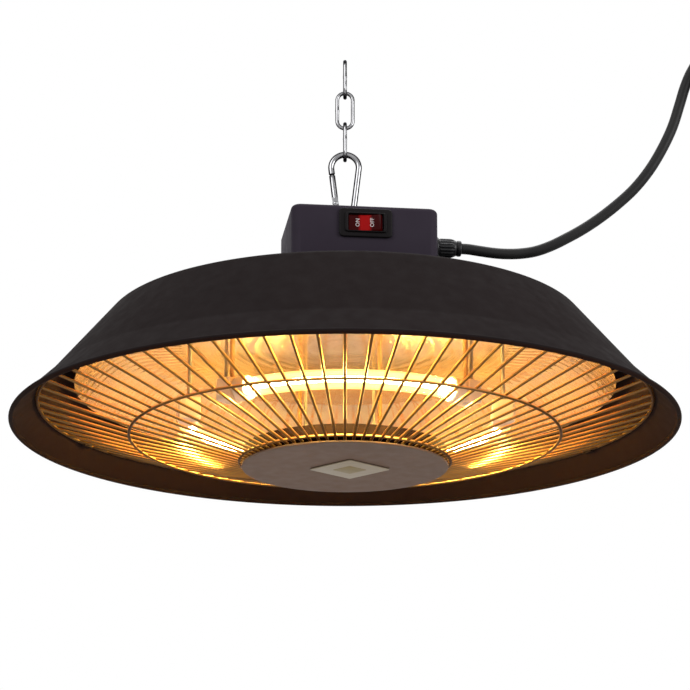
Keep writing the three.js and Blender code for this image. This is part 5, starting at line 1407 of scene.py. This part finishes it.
def chainLink(s, low, plane):
    # Two half circles joined by straight sides; the wire swells a little at its weld
    radius = (s["width"] - s["wire"]) / 2
    bottom, top = low + s["width"] / 2, low + s["length"] - s["width"] / 2
    side = np.linspace(bottom, top, s["sidePoints"])[1:-1]
    straight = [np.stack([0 * height + x, 0 * height, height], axis=1)
                for x, height in ((radius, side), (-radius, side[::-1]))]
    if plane == "yz":
        straight = [part[:, (1, 0, 2)] for part in straight]
    path = np.vstack([arc((0, top), radius, 0, math.pi, s["bendSteps"], plane), straight[1],
                      arc((0, bottom), radius, math.pi, 2 * math.pi, s["bendSteps"], plane), straight[0]])
    middle, axis = (bottom + top) / 2, 0 if plane == "xz" else 1
    away = np.abs(path[:, 2] - middle) + s["far"] * (path[:, axis] > 0)    # only one side has the weld
    swell = 1 + s["weld"] * np.exp(-(away / s["weldSpan"]) ** 2)
    return sweep(path, circle(s["wire"] / 2, s["sides"]), (0, 1, 0) if plane == "xz" else (1, 0, 0),
                 closed=True, scale=np.stack([swell, swell], axis=1))


for i, (body, plane) in enumerate((("chain_bottom", "yz"), ("chain_middle", "xz"), ("chain_top", "yz"))):
    finishPiece(f"link_{i + 1}", chainLink(chain, chain["first"] + i * chain["pitch"], plane), body,
                [f"chain_link_{i + 1}"], made["chrome"])
print("eye, hook and chain made")


# Nodes of the frame that keep their shape

kept = {
    "guard_clip_1": "shadeCoat", "guard_clip_2": "shadeCoat", "guard_clip_3": "shadeCoat",
    "box_screw_1": "zinc", "box_screw_2": "zinc", "terminal_block": "ceramic",
}
for node, finish in kept.items():
    shape = frame["nodes"][node]
    for materialSlot in shape.material_slots:
        materialSlot.material = made[finish]
print("kept nodes finished")


# Floor, backdrop and studio light

studio = {
    "floorDrop": 1.35, "floorSize": 12, "floorColour": (0.8, 0.8, 0.8),    # drop and size in metres
    "floorRoughness": 0.9, "worldStrength": 0.62,
    "lights": (    # name, place and size in metres, watts
        ("key", (-1.4, -1.7, 0.9), 1.5, 26),
        ("right", (1.9, -1.2, 0.2), 1.3, 30),
        ("top", (0.1, 0.6, 1.7), 1.6, 18),
    ),
    "aim": (0, 0, -0.16),
}


def makeWorld(s):
    # Full white where the camera, a gloss or a clear material looks, and a weaker white otherwise
    world = bpy.data.worlds.new("studio")
    bpy.context.scene.world = world
    world.use_nodes = True
    tree = world.node_tree
    weak = tree.nodes["Background"]
    weak.inputs["Color"].default_value = (1, 1, 1, 1)
    weak.inputs["Strength"].default_value = s["worldStrength"]
    full = tree.nodes.new("ShaderNodeBackground")
    full.inputs["Color"].default_value = (1, 1, 1, 1)
    rays = tree.nodes.new("ShaderNodeLightPath")
    seen = mathNode(tree, "MAXIMUM", rays.outputs["Is Camera Ray"], rays.outputs["Is Glossy Ray"])
    seen = mathNode(tree, "MAXIMUM", seen, rays.outputs["Is Transmission Ray"])
    mix = tree.nodes.new("ShaderNodeMixShader")
    tree.links.new(seen, mix.inputs[0])
    tree.links.new(weak.outputs[0], mix.inputs[1])
    tree.links.new(full.outputs[0], mix.inputs[2])
    tree.links.new(mix.outputs[0], tree.nodes["World Output"].inputs["Surface"])


def makeFloor(s):
    # A wide grey square far below the heater
    half = s["floorSize"] / 2
    low = -s["floorDrop"]
    mesh = bpy.data.meshes.new("studio_floor")
    corners = [(-half, -half, low), (half, -half, low), (half, half, low), (-half, half, low)]
    mesh.from_pydata(corners, [], [(0, 1, 2, 3)])
    floor = bpy.data.objects.new("studio_floor", mesh)
    bpy.context.scene.collection.objects.link(floor)
    material, tree, shader = newFinish("studioFloor")
    shader.inputs["Base Color"].default_value = (*s["floorColour"], 1)
    shader.inputs["Roughness"].default_value = s["floorRoughness"]
    mesh.materials.append(material)


def makeLights(s):
    for name, place, size, watts in s["lights"]:
        data = bpy.data.lights.new(name, "AREA")
        data.size = size
        data.energy = watts
        light = bpy.data.objects.new(name, data)
        light.location = place
        light.rotation_euler = (Vector(s["aim"]) - Vector(place)).to_track_quat("-Z", "Y").to_euler()
        bpy.context.scene.collection.objects.link(light)


makeWorld(studio)
makeFloor(studio)
makeLights(studio)
print("studio made")
